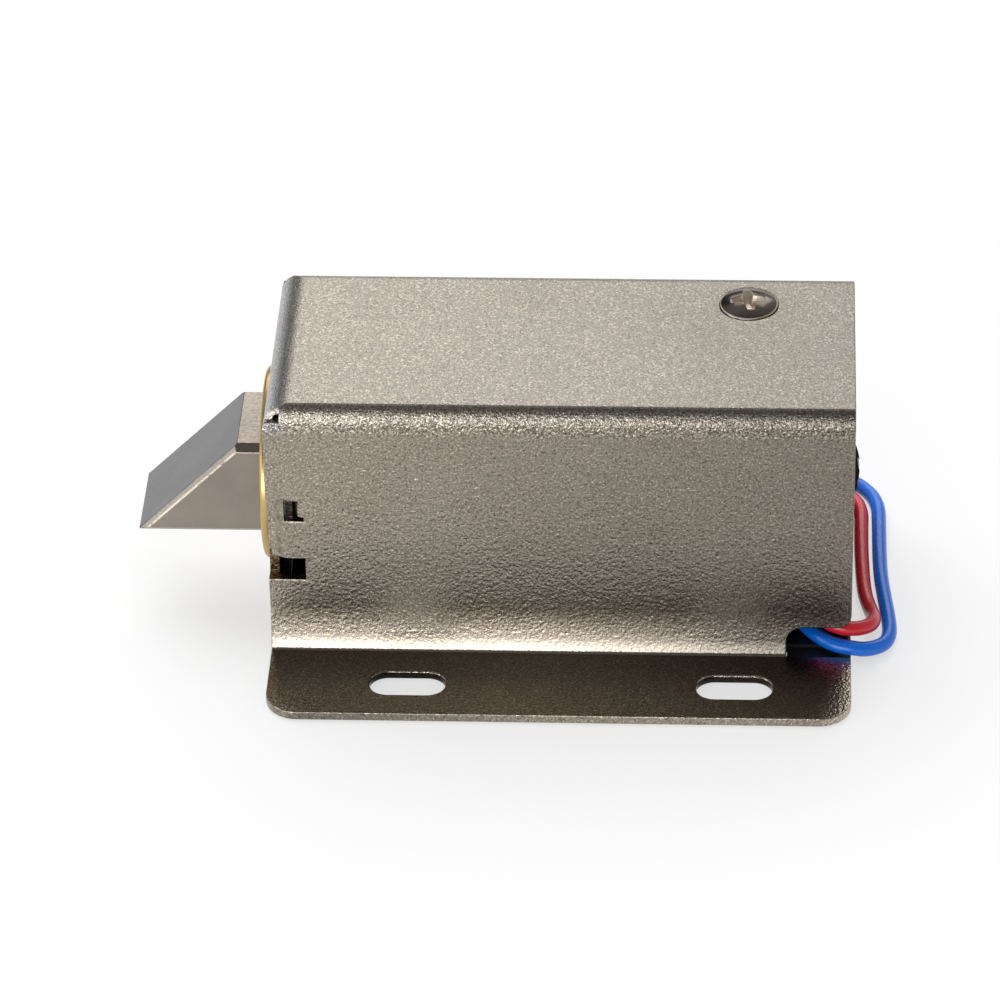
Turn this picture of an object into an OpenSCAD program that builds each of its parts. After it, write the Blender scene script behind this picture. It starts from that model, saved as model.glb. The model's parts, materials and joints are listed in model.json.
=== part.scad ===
// Electromechanical cabinet lock: a folded steel case with a slotted flange, and in it a
// solenoid that pulls a spring-loaded square latch bolt in through a brass guide bush.
// The origin is the middle of the two mounting slots, on the underside of the flange.
// +X runs from the bolt to the wire end, +Y from the flange to the rear, +Z up.

/* [Case] */
// Length of the folded case, from the bolt end to the wire end
case_l = 53.6; // [53:0.1:60]
// Depth of the case, from the front face to the rear face
case_d = 24; // [23.8:0.1:28]
// Height of the case
case_h = 27; // [26.8:0.1:31]
// Thickness of the folded sheet
sheet_t = 0.9; // [0.8:0.05:0.95]
// Inside radius of the bends of the case
bend_r = 0.5; // [0.3:0.05:0.7]
// Inside radius of the bend between the front and the flange
foot_bend_r = 1; // [0.6:0.1:1.4]
// Reach of the flange in front of the front face
flange_w = 10.5; // [9:0.1:14]
// Corner radius of the flange
flange_corner_r = 3; // [1:0.1:4]
// Width of the corner reliefs past the bends
relief_gap = 0.15; // [0.05:0.05:0.4]
// Free play between the case and the cover that slides into it
cover_gap = 0.05; // [0.02:0.01:0.1]

/* [Mounting slots] */
// Distance between the centres of the two slots
slot_spacing = 30; // [26:0.1:34]
// End to end length of a slot
slot_length = 7; // [5:0.1:9]
// Width of a slot
slot_width = 3.5; // [3:0.1:4.2]
// Distance from the row of slots to the front face
slots_from_face = 5.75; // [4.6:0.05:6.5]
// Distance from the middle of the slots to the bolt end of the case
slots_from_end = 27.9; // [26:0.1:29]
// Broken edge round a slot
slot_edge = 0.2; // [0.1:0.05:0.4]

/* [Lock marks in the front] */
// Height of the lower notch above the base
notch_z = 8.25; // [6:0.05:9]
// Length of the lower notch
notch_l = 3.45; // [2.5:0.05:4]
// Height of the lower notch
notch_h = 2.4; // [1.5:0.1:3]
// Distance from the end of the case to the line where the tongue starts to bend in
tongue_x = 2; // [1.8:0.05:2.2]
// Length of the tongue past its bend
tongue_l = 1.2; // [0.9:0.05:1.3]
// Height of the pressed tongue
tongue_h = 6.5; // [5:0.1:7.5]
// Angle that the tongue is pressed in by
tongue_angle = 22; // [10:1:25]
// Free slit round the tongue
tongue_gap = 0.1; // [0.05:0.05:0.2]
// Distance from the end of the case to the pierced window
window_x = 2.35; // [2.05:0.05:2.5]
// Height of the window above the base
window_z = 14.75; // [14:0.05:16]
// Length of the window
window_l = 1.1; // [1:0.05:1.6]
// Height of the window
window_h = 2.25; // [1.5:0.05:3]
// Height of the free strip below the tab that is folded in at the window
tab_relief = 0.45; // [0.2:0.05:0.6]
// Outside radius of that tab's fold
tab_roll_r = 0.85; // [0.3:0.05:0.85]
// How far the tab reaches into the case
tab_depth = 1.1; // [0.5:0.1:2]

/* [Wire outlet] */
// Length of the outlet along the front
outlet_l = 5.95; // [5:0.05:8]
// Height of the top edge of the outlet
outlet_h = 3.55; // [3:0.05:5]
// Corner radius of the closed end of the outlet
outlet_r = 1.5; // [0.8:0.1:1.7]
// Radius of the case corner above the outlet
outlet_corner_r = 1.3; // [0.5:0.1:1.5]
// How far the outlet runs over the flange
outlet_over_flange = 0.8; // [0.5:0.05:0.9]
// Depth of the cut in the cover behind the outlet
cover_cut_w = 2.2; // [1.9:0.1:3]
// Rise of that cut over the outlet
cover_cut_rise = 1; // [0.5:0.1:2]
// Thickness of the cover's tab that closes the outlet's floor
outlet_tab_t = 0.5; // [0.4:0.05:0.6]

/* [Latch bolt] */
// Rise of the bolt's axis over the middle of the room between the cover and the yoke
axis_rise = 0.45; // [0:0.05:0.8]
// Side of the square bolt
bolt_w = 9.8; // [8.5:0.1:9.9]
// Broken long edges of the bolt
bolt_edge = 0.65; // [0.4:0.05:0.9]
// How far the bolt stands out of the case at rest
bolt_out = 12.7; // [11.5:0.1:13.5]
// Upright tip of the bolt below its ramp
tip_h = 0.3; // [0.2:0.05:1]
// Angle between the ramp and the bolt's axis
ramp_angle = 45; // [42:1:50]
// Broken edges of the ramp
ramp_edge = 0.45; // [0.2:0.05:0.7]
// How far the bolt is drawn in
bolt_stroke = 10; // [8:0.1:10.5]
// Free play on each side of the square bolt in its bush
bolt_gap = 0.1; // [0.05:0.01:0.2]

/* [Guide bush] */
// Diameter of the brass disc outside the case
disc_d = 17.9; // [16.8:0.1:18.2]
// Thickness of the brass disc
disc_t = 0.9; // [0.6:0.05:1.2]
// Broken edge of the disc
disc_edge = 0.2; // [0.1:0.05:0.3]
// Diameter of the bush where it passes through the end of the case
neck_d = 14.8; // [14.6:0.1:15.4]
// Diameter of the lip that is rolled over inside the case
lip_d = 16; // [15.8:0.1:16.6]
// Thickness of the rolled lip
lip_t = 0.6; // [0.4:0.05:0.9]
// Length of the bush inside the case
bush_in = 2.1; // [1.8:0.1:2.5]
// Radial play of the bush in its hole
bush_gap = 0.03; // [0.02:0.01:0.05]

/* [Bolt carrier] */
// Diameter of the plunger
plunger_d = 9.5; // [9:0.1:9.6]
// Diameter of the plunger's spigot in the bolt
spigot_d = 6; // [5:0.1:6.4]
// Length of the spigot in the bolt
spigot_l = 5; // [4.5:0.1:6]
// Diameter of the stop collar
collar_d = 14; // [13.8:0.1:14.4]
// Thickness of the stop collar
collar_t = 1; // [0.8:0.05:1.2]
// Diameter of the cross pin
pin_d = 2; // [1.5:0.1:2.4]
// Radial play of the fixed fits
seat_gap = 0.03; // [0.02:0.01:0.05]
// Edge chamfer of the turned parts
turned_edge = 0.4; // [0.2:0.05:0.6]
// Edge chamfer of the thin rings
ring_edge = 0.1; // [0.05:0.01:0.12]
// Edge chamfer of the pin
pin_edge = 0.25; // [0.1:0.05:0.4]

/* [Solenoid] */
// Thickness of the yoke strap
yoke_t = 1.5; // [1.2:0.1:1.6]
// Width of the yoke strap
yoke_w = 18; // [16:0.5:19]
// Length of the yoke over its legs
yoke_l = 34; // [33:0.1:34.5]
// Inside radius of the yoke's bends
yoke_bend_r = 0.8; // [0.5:0.1:1.2]
// Height of the yoke's legs
yoke_leg_h = 22; // [21:0.5:23]
// Running play of the plunger in its sleeve, on the radius
running_gap = 0.06; // [0.03:0.01:0.08]
// Wall of the brass guide sleeve
sleeve_t = 0.45; // [0.35:0.05:0.5]
// Wall of the bobbin's tube
bobbin_t = 0.7; // [0.6:0.05:0.9]
// Thickness of the bobbin's flanges
bobbin_flange_t = 1; // [0.8:0.1:1.3]
// Clearance round the bobbin in the case
coil_gap = 0.6; // [0.4:0.05:1]
// How far the winding stays inside the bobbin's flanges
winding_inset = 0.8; // [0.6:0.05:1.5]
// Thickness of the tape round the winding
tape_t = 0.25; // [0.15:0.05:0.35]
// Length of the fixed core in the sleeve
core_l = 5.6; // [5.3:0.1:6]
// Diameter of the core's shoulder in the yoke
core_neck_d = 6; // [5.5:0.1:7]
// Thickness of the pad that keeps the plunger off the core
pad_t = 0.5; // [0.3:0.05:0.6]
// Gap left between the plunger and the pad when the bolt is drawn in
pad_gap = 0.2; // [0.1:0.05:0.4]

/* [Return spring] */
// Diameter of the spring's wire
spring_wire = 0.6; // [0.5:0.05:0.6]
// Mean diameter of the spring
spring_d = 11.2; // [10.9:0.1:11.6]
// Number of turns of the spring
spring_turns = 6; // [4:0.5:6]
// Thickness of the washer between the spring and the yoke
washer_t = 0.5; // [0.3:0.05:0.6]
// Diameter of that washer
washer_d = 14; // [13:0.1:15]
// Bore of that washer
washer_bore = 9.9; // [9.8:0.05:10.1]

/* [Screws] */
// Thread diameter of both screws
screw_d = 3; // [2.5:0.1:3.2]
// Head diameter of both screws
head_d = 5.5; // [5:0.1:5.8]
// Height of the raised head above the sheet
head_raise = 0.7; // [0.4:0.05:0.9]
// Mouth of the countersink in the sheet
sink_d = 5.8; // [5.7:0.05:6.1]
// Length of the case screw below the sheet's face
case_screw_l = 4.2; // [3.5:0.1:5]
// Length of the core screw below the cover's face
core_screw_l = 5.5; // [4.5:0.1:6]
// Distance from the case screw to the wire end of the case
screw_from_end = 9.8; // [9:0.1:11]
// Distance from the case screw to the front face
screw_from_face = 18.5; // [18:0.1:19]
// Width of the cross recess across its arms
recess_w = 3.3; // [2.8:0.1:3.6]
// Width of one arm of the recess
recess_arm = 0.75; // [0.5:0.05:0.9]
// Depth of the recess below the crown
recess_depth = 1.5; // [1:0.1:1.7]
// Length of the fine nicks between the arms, over both
nick_l = 2; // [1.6:0.1:2.4]
// Width of those nicks
nick_w = 0.25; // [0.15:0.05:0.35]
// Turn of the case screw's recess
case_screw_turn = 8; // [0:1:89]
// Turn of the core screw's recess
core_screw_turn = 30; // [0:1:89]
// Chamfer at the end of both threads
screw_edge = 0.4; // [0.2:0.05:0.6]

/* [Leads] */
// Outside diameter of a lead
lead_d = 1.4; // [1.3:0.05:1.4]
// Diameter of the sleeve over a lead's solder joint
splice_d = 2.4; // [2:0.1:2.6]
// Length of that sleeve
splice_l = 7; // [5:0.5:8]
// Mean radius of a lead's coil
coil_r = 8; // [7.8:0.1:8.2]
// Distance between neighbouring turns and layers of a coil
coil_pitch = 1.9; // [1.85:0.05:1.95]
// Number of turns of the blue lead's coil
blue_turns = 3.5; // [3:0.25:3.5]
// Number of turns of the red lead's coil
red_turns = 3.15; // [3:0.05:3.4]
// Diameter of a tinned end
tip_d = 0.8; // [0.6:0.05:1]
// Length of a tinned end
tip_l = 5; // [3:0.5:6]
// Width of a coil's tie
tie_w = 2; // [1.5:0.1:3]
// Thickness of a coil's tie
tie_t = 0.35; // [0.25:0.05:0.4]
// Play between a tie and the turns, sideways
tie_gap = 0.15; // [0.15:0.05:0.3]
// Length of a tie's head
tie_head_l = 1.2; // [0.8:0.1:1.6]
// Height of a tie's head
tie_head_h = 0.9; // [0.6:0.05:1.1]

/* [Hidden] */

nickel = [0.76, 0.74, 0.69];
blackened = [0.16, 0.16, 0.17];
brass = [0.78, 0.62, 0.32];
steel = [0.62, 0.63, 0.65];
zinc = [0.55, 0.57, 0.6];
copper = [0.72, 0.4, 0.2];
red = [0.76, 0.1, 0.12];
blue = [0.05, 0.36, 0.76];

// Faces of the case
x_end = -slots_from_end;
x_wire = x_end + case_l;
y_front = slots_from_face;
y_rear = y_front + case_d;
z_top = case_h;
// Inner faces of its walls
x_end_in = x_end + sheet_t;
x_wire_in = x_wire - sheet_t;
y_front_in = y_front + sheet_t;
y_rear_in = y_rear - sheet_t;
z_top_in = z_top - sheet_t;
bend_out = bend_r + sheet_t;
foot_bend_out = foot_bend_r + sheet_t;
relief_l = bend_out + relief_gap;
// A cutter runs this far past the face that it cuts
past = 1;

// Axis of the bolt and the solenoid
axis_y = (y_front + y_rear) / 2;
axis_z = (sheet_t + z_top_in - yoke_t) / 2 + axis_rise;

// Stations along the axis, from the bolt's tip to the core's screw
x_tip = x_end - bolt_out;
x_bush_in = x_end_in + bush_in;
x_shoulder = x_bush_in + collar_t;
x_yoke = x_wire_in - yoke_l;
x_leg = x_yoke + yoke_t;
x_rear_leg = x_wire_in - yoke_t;
x_core = x_rear_leg - core_l;
x_pad = x_core - pad_t;
x_plunger_end = x_pad - pad_gap - bolt_stroke;
x_washer = x_yoke - washer_t;

sleeve_in_r = plunger_d / 2 + running_gap;
sleeve_out_r = sleeve_in_r + sleeve_t;
bobbin_in_r = sleeve_out_r + seat_gap;
winding_in_r = bobbin_in_r + bobbin_t;
bobbin_l = x_rear_leg - x_leg - 2 * seat_gap;
// The bobbin fills the smaller of its rooms, sideways and under the yoke
coil_room = min(axis_y - y_front_in, z_top_in - yoke_t - axis_z);
bobbin_flange_r = coil_room - coil_gap;
winding_r = bobbin_flange_r - winding_inset;
bolt_hole_w = bolt_w + 2 * bolt_gap;

// Heads of the screws
head_cone_h = (head_d - screw_d) / 2;
head_ball_r = (pow(head_d / 2, 2) + pow(head_raise, 2)) / (2 * head_raise);
x_screw = x_wire - screw_from_end;
y_screw = y_front + screw_from_face;

// Leads
lead_r = lead_d / 2;

// Return spring: play at its two ends, and between the turns that lie flat there
spring_gap = 0.03;
end_turn_gap = 0.01;

// Routes of the free stretches, from the solder joint to the coil
red_route = [
    [15, 8.2, 7.2], [16.6, 8.2, 7.2], [18.3, 8.3, 6.8], [19.9, 8.5, 5.9], [21.2, 8.4, 4.8],
    [22.4, 7.9, 3.8], [23.6, 7.2, 3.1], [24.9, 6.8, 2.8], [26.2, 7, 2.6], [27.2, 7.8, 2.3],
    [27.7, 9, 1.9], [27.8, 10.6, 1.4], [27.5, 12.6, 0.9], [27.1, 15, 0.7], [26.9, 18, 0.7],
    [26.8, 22, 0.7], [26.8, 25.5, 0.7], [26.8, 28.4, 0.7], [26.2, 30.5, 0.7], [24.8, 32, 0.7],
    [22.8, 32.7, 0.7], [20, 32.7, 0.7], [16, 32.5, 0.7], [11.5, 32.2, 0.7],
    [7, 32.1, 0.8], [2, 32.3, 1], [-3, 32.6, 1.15], [-6.5, 32.7, 1.15], [-9, 32.7, 1.15]
];
blue_route = [
    [15, 12.1, 3.4], [16.6, 12.1, 3.4], [18.2, 11.6, 3.1], [19.7, 10.5, 2.6], [20.9, 9.2, 2.1],
    [21.8, 8, 1.8], [22.8, 6.9, 1.7], [23.8, 6.1, 1.6], [24.8, 5.7, 1.5], [25.8, 5.6, 1.4],
    [26.8, 5.7, 1.2], [27.8, 6.2, 1], [28.6, 7, 0.8], [29.1, 8, 0.7], [29.3, 9.4, 0.7],
    [29.2, 11.5, 0.7], [28.9, 14.5, 0.7], [28.6, 18, 0.7], [28.5, 22, 0.7], [28.5, 26, 0.7],
    [28.4, 29.4, 0.7], [27.6, 31.8, 0.7], [26, 33.6, 0.7], [23.6, 34.4, 0.8], [20.6, 34.5, 1],
    [17.6, 34.5, 1.15], [15.6, 34.5, 1.15], [14, 34.5, 1.15]
];
// Angles of the coils that the ties are put at
red_tie_at = 200;
blue_tie_at = 90;

// Shapes that more than one piece uses

// A quarter of a ring, from the +X axis to the +Y axis
module quarter_ring(inner_r, outer_r) {
    intersection() {
        difference() {
            circle(r = outer_r, $fn = 48);
            circle(r = inner_r, $fn = 48);
        }
        square(outer_r);
    }
}

// A flat shape in Y and Z, drawn out along X
module along_x(x0, x1) {
    translate([x0, 0, 0]) rotate([90, 0, 90]) linear_extrude(x1 - x0) children();
}

// A flat shape in X and Z, drawn out along Y
module along_y(y0, y1) {
    translate([0, y1, 0]) rotate([90, 0, 0]) linear_extrude(y1 - y0) children();
}

// A block between two corners
module block(low, high) {
    translate(low) cube([for (i = [0:2]) high[i] - low[i]]);
}

// A turned shape about the solenoid's axis, from x0 to x1
module rod(x0, x1, r) {
    translate([x0, axis_y, axis_z]) rotate([0, 90, 0]) cylinder(h = x1 - x0, r = r, $fn = 64);
}

// A cone about the solenoid's axis
module taper(x0, x1, r0, r1) {
    translate([x0, axis_y, axis_z]) rotate([0, 90, 0])
        cylinder(h = x1 - x0, r1 = r0, r2 = r1, $fn = 64);
}

// A rod with broken edges at both ends
module edged_rod(x0, x1, r, edge) {
    taper(x0, x0 + edge, r - edge, r);
    rod(x0 + edge, x1 - edge, r);
    taper(x1 - edge, x1, r, r - edge);
}

// A square with broken corners
module edged_square(side, edge) {
    half = side / 2;
    flat = half - edge;
    polygon([
        [half, -flat], [half, flat], [flat, half], [-flat, half],
        [-half, flat], [-half, -flat], [-flat, -half], [flat, -half]
    ]);
}

// Case

// The flat blank of the case, folded: flange, front, top and rear
module case_section() {
    translate([y_front - flange_w, 0]) square([flange_w - foot_bend_r, sheet_t]);
    translate([y_front - foot_bend_r, foot_bend_out]) mirror([0, 1])
        quarter_ring(foot_bend_r, foot_bend_out);
    translate([y_front, foot_bend_out]) square([sheet_t, z_top - bend_out - foot_bend_out]);
    translate([y_front + bend_out, z_top - bend_out]) mirror([1, 0])
        quarter_ring(bend_r, bend_out);
    translate([y_front + bend_out, z_top_in]) square([case_d - 2 * bend_out, sheet_t]);
    translate([y_rear - bend_out, z_top - bend_out]) quarter_ring(bend_r, bend_out);
    translate([y_rear_in, 0]) square([sheet_t, z_top - bend_out]);
}

// Front, flange and rear where the corner reliefs leave the bends out
module case_sides() {
    intersection() {
        case_section();
        translate([y_front - flange_w, 0]) square([case_d + flange_w, z_top - bend_out]);
    }
}

// The end wall that the bolt passes through, folded down from the top
module end_wall_section() {
    translate([x_end, 0]) square([sheet_t, z_top - bend_out]);
    translate([x_end + bend_out, z_top - bend_out]) mirror([1, 0])
        quarter_ring(bend_r, bend_out);
    translate([x_end + bend_out, z_top_in]) square([relief_l - bend_out, sheet_t]);
}

// A slot through the flange with its upper edge broken
module slot(x) {
    reach = (slot_length - slot_width) / 2;
    r = slot_width / 2;
    z_edge = sheet_t - slot_edge;
    for (side = [-1, 1]) translate([x + side * reach, 0, 0]) {
        translate([0, 0, -past]) cylinder(h = sheet_t + 2 * past, r = r, $fn = 48);
        translate([0, 0, z_edge]) cylinder(h = 2 * slot_edge, r1 = r, r2 = r + 2 * slot_edge, $fn = 48);
    }
    block([x - reach, -r, -past], [x + reach, r, sheet_t + past]);
    along_x(x - reach, x + reach) polygon([
        [-r, z_edge], [r, z_edge],
        [r + 2 * slot_edge, z_edge + 2 * slot_edge], [-r - 2 * slot_edge, z_edge + 2 * slot_edge]
    ]);
}

// What is left outside a round corner of radius r at the origin, to the +X and +Y side
module corner_waste(r) {
    difference() {
        square(r + past);
        circle(r = r, $fn = 48);
    }
}

// The outlet for the leads, open at the wire end
module wire_outlet() {
    x0 = x_wire - outlet_l;
    over = y_front - outlet_over_flange;
    along_y(over, y_front_in + past) {
        translate([x0 + outlet_r, -past]) square([outlet_l + past, outlet_h + past]);
        translate([x0 + outlet_r, outlet_h - outlet_r]) circle(r = outlet_r, $fn = 48);
        translate([x0, -past]) square([outlet_r, outlet_h - outlet_r + past]);
    }
    along_y(y_front - past, y_front_in + past)
        translate([x_wire - outlet_corner_r, outlet_h + outlet_corner_r])
            mirror([0, 1]) corner_waste(outlet_corner_r);
}

// The window, whose tab is folded into the case along its far edge
module window() {
    x0 = x_end + window_x;
    x1 = x0 + window_l;
    block([x0, y_front - past, window_z], [x1, y_front_in + past, window_z + tab_relief]);
    block([x0, y_front - past, window_z], [x1 - tab_roll_r, y_front_in + past, window_z + window_h]);
    translate([x1, y_front + tab_roll_r, window_z]) mirror([1, 0, 0]) mirror([0, 1, 0])
        linear_extrude(window_h) corner_waste(tab_roll_r);
}

// The tab itself, inside the case
module window_tab() {
    x0 = x_end + window_x + window_l - tab_roll_r;
    block(
        [x0, y_front_in - cover_gap, window_z + tab_relief],
        [x0 + sheet_t, y_front_in + tab_depth, window_z + window_h]
    );
}

// The room that the tongue leaves, and the tongue bent into it over the notch
tongue_z = notch_z + notch_h;
module tongue_room() {
    block([x_end - past, y_front - past, tongue_z], [x_end + tongue_x, y_front_in, tongue_z + tongue_h]);
}

// One face of the tongue, from the sheet round its bend to its free edge
tongue_steps = 5;
function tongue_face(r) = concat(
    [[tongue_gap, -r]],
    [for (i = [0:tongue_steps]) let (a = tongue_angle * i / tongue_steps) [-r * sin(a), -r * cos(a)]],
    [[-r * sin(tongue_angle) - tongue_l * cos(tongue_angle),
      -r * cos(tongue_angle) + tongue_l * sin(tongue_angle)]]
);

module tongue() {
    front = tongue_face(bend_out);
    translate([x_end + tongue_x, y_front + bend_out, tongue_z]) linear_extrude(tongue_h - tongue_gap)
        polygon(concat(tongue_face(bend_r), [for (i = [len(front) - 1:-1:0]) front[i]]));
}

// The edge of the end wall is cut back behind the tongue and the notch
module tongue_seat() {
    press = bend_out - bend_r * cos(tongue_angle) + tongue_l * sin(tongue_angle) + tongue_gap;
    block(
        [x_end - past, y_front_in - past, notch_z],
        [x_end_in + past, y_front + press, tongue_z + tongue_h]
    );
}

// The countersunk way of a screw, its mouth at the origin and running down
module screw_way(mouth_d) {
    cone_h = (mouth_d - screw_d) / 2;
    translate([0, 0, -cone_h])
        cylinder(h = cone_h + past, r1 = screw_d / 2, r2 = mouth_d / 2 + past, $fn = 48);
}

module case_shell() {
    color(nickel) {
        difference() {
            union() {
                difference() {
                    union() {
                        along_x(x_end + relief_l, x_wire) case_section();
                        along_x(x_end, x_end + relief_l) case_sides();
                    }
                    tongue_room();
                }
                tongue();
                window_tab();
                along_y(y_front + bend_r + relief_gap, y_rear - bend_r - relief_gap)
                    intersection() {
                        end_wall_section();
                        translate([x_end, z_top - bend_out]) square(relief_l + bend_out);
                    }
                difference() {
                    along_y(y_front_in + cover_gap, y_rear_in - cover_gap)
                        intersection() {
                            end_wall_section();
                            translate([x_end, 0]) square([relief_l, z_top - bend_out]);
                        }
                    tongue_seat();
                    rod(x_end - past, x_end_in + past, neck_d / 2 + bush_gap);
                }
            }
            for (side = [-1, 1]) slot(side * slot_spacing / 2);
            block(
                [x_end - past, y_front - past, notch_z],
                [x_end + notch_l, y_front_in, notch_z + notch_h]
            );
            window();
            wire_outlet();
            for (side = [0, 1])
                translate([side ? x_wire - flange_corner_r : x_end + flange_corner_r,
                           y_front - flange_w + flange_corner_r, -past])
                    mirror([1 - side, 0, 0]) mirror([0, 1, 0])
                        linear_extrude(sheet_t + 2 * past) corner_waste(flange_corner_r);
            translate([x_screw, y_screw, z_top]) screw_way(sink_d);
        }
    }
}

// Cover: the base and the end wall on the wire side, one bent sheet
module base_cover() {
    y0 = y_front_in + cover_gap;
    y1 = y_rear_in - cover_gap;
    leads_y = y0 + cover_cut_w;
    leads_z = outlet_h + cover_cut_rise;
    corner = bend_r * sqrt(2);
    color(blackened)
        difference() {
            union() {
                along_y(y0, y1) {
                    translate([x_end_in + cover_gap, 0])
                        square([x_wire - bend_out - x_end_in - cover_gap, sheet_t]);
                    translate([x_wire - bend_out, bend_out]) mirror([0, 1])
                        quarter_ring(bend_r, bend_out);
                    translate([x_wire_in, bend_out])
                        square([sheet_t, z_top_in - cover_gap - bend_out]);
                }
                block(
                    [x_wire - outlet_l + cover_gap, y_front - outlet_over_flange + cover_gap, 0],
                    [x_wire, leads_y, outlet_tab_t]
                );
            }
            block([x_wire - bend_out - past, y0 - past, sheet_t], [x_wire + past, leads_y, leads_z]);
            block(
                [x_wire - bend_out, y0 - past, outlet_tab_t],
                [x_wire + past, leads_y, leads_z]
            );
            for (y = [y0, y1]) translate([x_wire_in - past, y, z_top_in - cover_gap]) rotate([45, 0, 0])
                translate([0, -corner / 2, -corner / 2]) cube([sheet_t + 2 * past, corner, corner]);
            translate([x_wire, axis_y, axis_z]) rotate([0, 90, 0]) screw_way(sink_d);
        }
}

// Screws: raised countersunk heads with a cross recess

module cross_recess() {
    z0 = head_raise - recess_depth;
    for (turn = [0, 90]) rotate([0, 0, turn])
        translate([-recess_w / 2, -recess_arm / 2, z0]) cube([recess_w, recess_arm, recess_depth + past]);
    for (turn = [45, 135]) rotate([0, 0, turn])
        translate([-nick_l / 2, -nick_w / 2, z0 + recess_depth / 2])
            cube([nick_l, nick_w, recess_depth]);
}

module raised_screw(length) {
    difference() {
        union() {
            intersection() {
                translate([0, 0, head_raise - head_ball_r]) sphere(r = head_ball_r, $fn = 96);
                cylinder(h = 2 * head_raise, r = head_d / 2, $fn = 64);
            }
            translate([0, 0, -head_cone_h])
                cylinder(h = head_cone_h, r1 = screw_d / 2 - seat_gap, r2 = head_d / 2, $fn = 64);
            translate([0, 0, screw_edge - length])
                cylinder(h = length - screw_edge - head_cone_h, r = screw_d / 2 - seat_gap, $fn = 48);
            translate([0, 0, -length])
                cylinder(
                    h = screw_edge, r1 = screw_d / 2 - screw_edge, r2 = screw_d / 2 - seat_gap, $fn = 48
                );
        }
        cross_recess();
    }
}

module case_screw() {
    color(steel) translate([x_screw, y_screw, z_top]) rotate([0, 0, case_screw_turn])
        raised_screw(case_screw_l);
}

module core_screw() {
    color(steel) translate([x_wire, axis_y, axis_z]) rotate([0, 90, 0]) rotate([0, 0, core_screw_turn])
        raised_screw(core_screw_l);
}

// Guide bush: a disc outside the end wall, a neck through it and a lip rolled over inside
module guide_bush() {
    color(brass)
        difference() {
            union() {
                taper(x_end - disc_t, x_end - disc_t + disc_edge, disc_d / 2 - disc_edge, disc_d / 2);
                rod(x_end - disc_t + disc_edge, x_end, disc_d / 2);
                rod(x_end - disc_t / 2, x_bush_in, neck_d / 2);
                rod(x_end_in, x_end_in + lip_t / 2, lip_d / 2);
                taper(x_end_in + lip_t / 2, x_end_in + lip_t, lip_d / 2, neck_d / 2);
            }
            along_x(x_end - disc_t - past, x_bush_in + past)
                translate([axis_y, axis_z]) edged_square(bolt_hole_w, bolt_edge);
        }
}

// Latch bolt: a square bar with broken edges, cut by a ramp whose edges are broken too
module latch_bolt() {
    below = 2 * bolt_w;
    half = bolt_w / 2;
    long = 2 * bolt_out;
    color(zinc)
        difference() {
            intersection() {
                along_x(x_tip, x_bush_in)
                    translate([axis_y, axis_z]) edged_square(bolt_w, bolt_edge);
                translate([x_tip, axis_y, axis_z - half + tip_h]) rotate([0, -ramp_angle, 0])
                    along_x(-long, 2 * long) polygon([
                        [-half, -below], [-half, -ramp_edge], [ramp_edge - half, 0],
                        [half - ramp_edge, 0], [half, -ramp_edge], [half, -below]
                    ]);
            }
            rod(x_bush_in - spigot_l - seat_gap, x_bush_in + past, spigot_d / 2 + seat_gap);
            pin_way(seat_gap);
        }
}

// The hole for the cross pin, through the bolt and the spigot
module pin_way(gap) {
    translate([x_bush_in - spigot_l / 2, axis_y - bolt_w, axis_z]) rotate([-90, 0, 0])
        cylinder(h = 2 * bolt_w, r = pin_d / 2 + gap, $fn = 48);
}

module bolt_pin() {
    l = bolt_w - 2 * bolt_gap;
    r = pin_d / 2;
    color(steel) translate([x_bush_in - spigot_l / 2, axis_y - l / 2, axis_z]) rotate([-90, 0, 0]) {
        cylinder(h = pin_edge, r1 = r - pin_edge, r2 = r, $fn = 48);
        translate([0, 0, pin_edge]) cylinder(h = l - 2 * pin_edge, r = r, $fn = 48);
        translate([0, 0, l - pin_edge]) cylinder(h = pin_edge, r1 = r, r2 = r - pin_edge, $fn = 48);
    }
}

// The collar that stops the bolt against its bush, held between the bolt and the plunger
module stop_collar() {
    color(steel)
        difference() {
            edged_rod(x_bush_in, x_shoulder, collar_d / 2, ring_edge);
            rod(x_bush_in - past, x_shoulder + past, spigot_d / 2 + seat_gap);
        }
}

module plunger() {
    color(steel)
        difference() {
            union() {
                rod(x_bush_in - spigot_l, x_shoulder + turned_edge, spigot_d / 2);
                edged_rod(x_shoulder, x_plunger_end, plunger_d / 2, turned_edge);
            }
            pin_way(seat_gap);
        }
}

// Return spring: a round wire wound about the plunger, its end turns flat

spring_rings = 24;
function spring_rise(turn, length) =
    let (
        flat = 1,
        open = spring_turns - 2 * flat,
        wire = spring_wire + end_turn_gap,
        climb = length - spring_wire - 2 * flat * wire
    )
    turn < flat ? turn * wire
        : turn > spring_turns - flat ? length - spring_wire - (spring_turns - turn) * wire
        : flat * wire + climb * (turn - flat) / open;
function spring_point(turn, length) = [
    x_shoulder + spring_gap + spring_wire / 2 + spring_rise(turn, length),
    axis_y + spring_d / 2 * cos(360 * turn),
    axis_z + spring_d / 2 * sin(360 * turn)
];

module return_spring() {
    length = x_washer - x_shoulder - 2 * spring_gap;
    color(steel) tube(
        [for (i = [0:spring_rings * spring_turns]) spring_point(i / spring_rings, length)],
        spring_wire / 2, 6
    );
}

module spring_washer() {
    color(steel)
        difference() {
            edged_rod(x_washer, x_yoke, washer_d / 2, ring_edge);
            rod(x_washer - past, x_yoke + past, washer_bore / 2);
        }
}

// Solenoid

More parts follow.
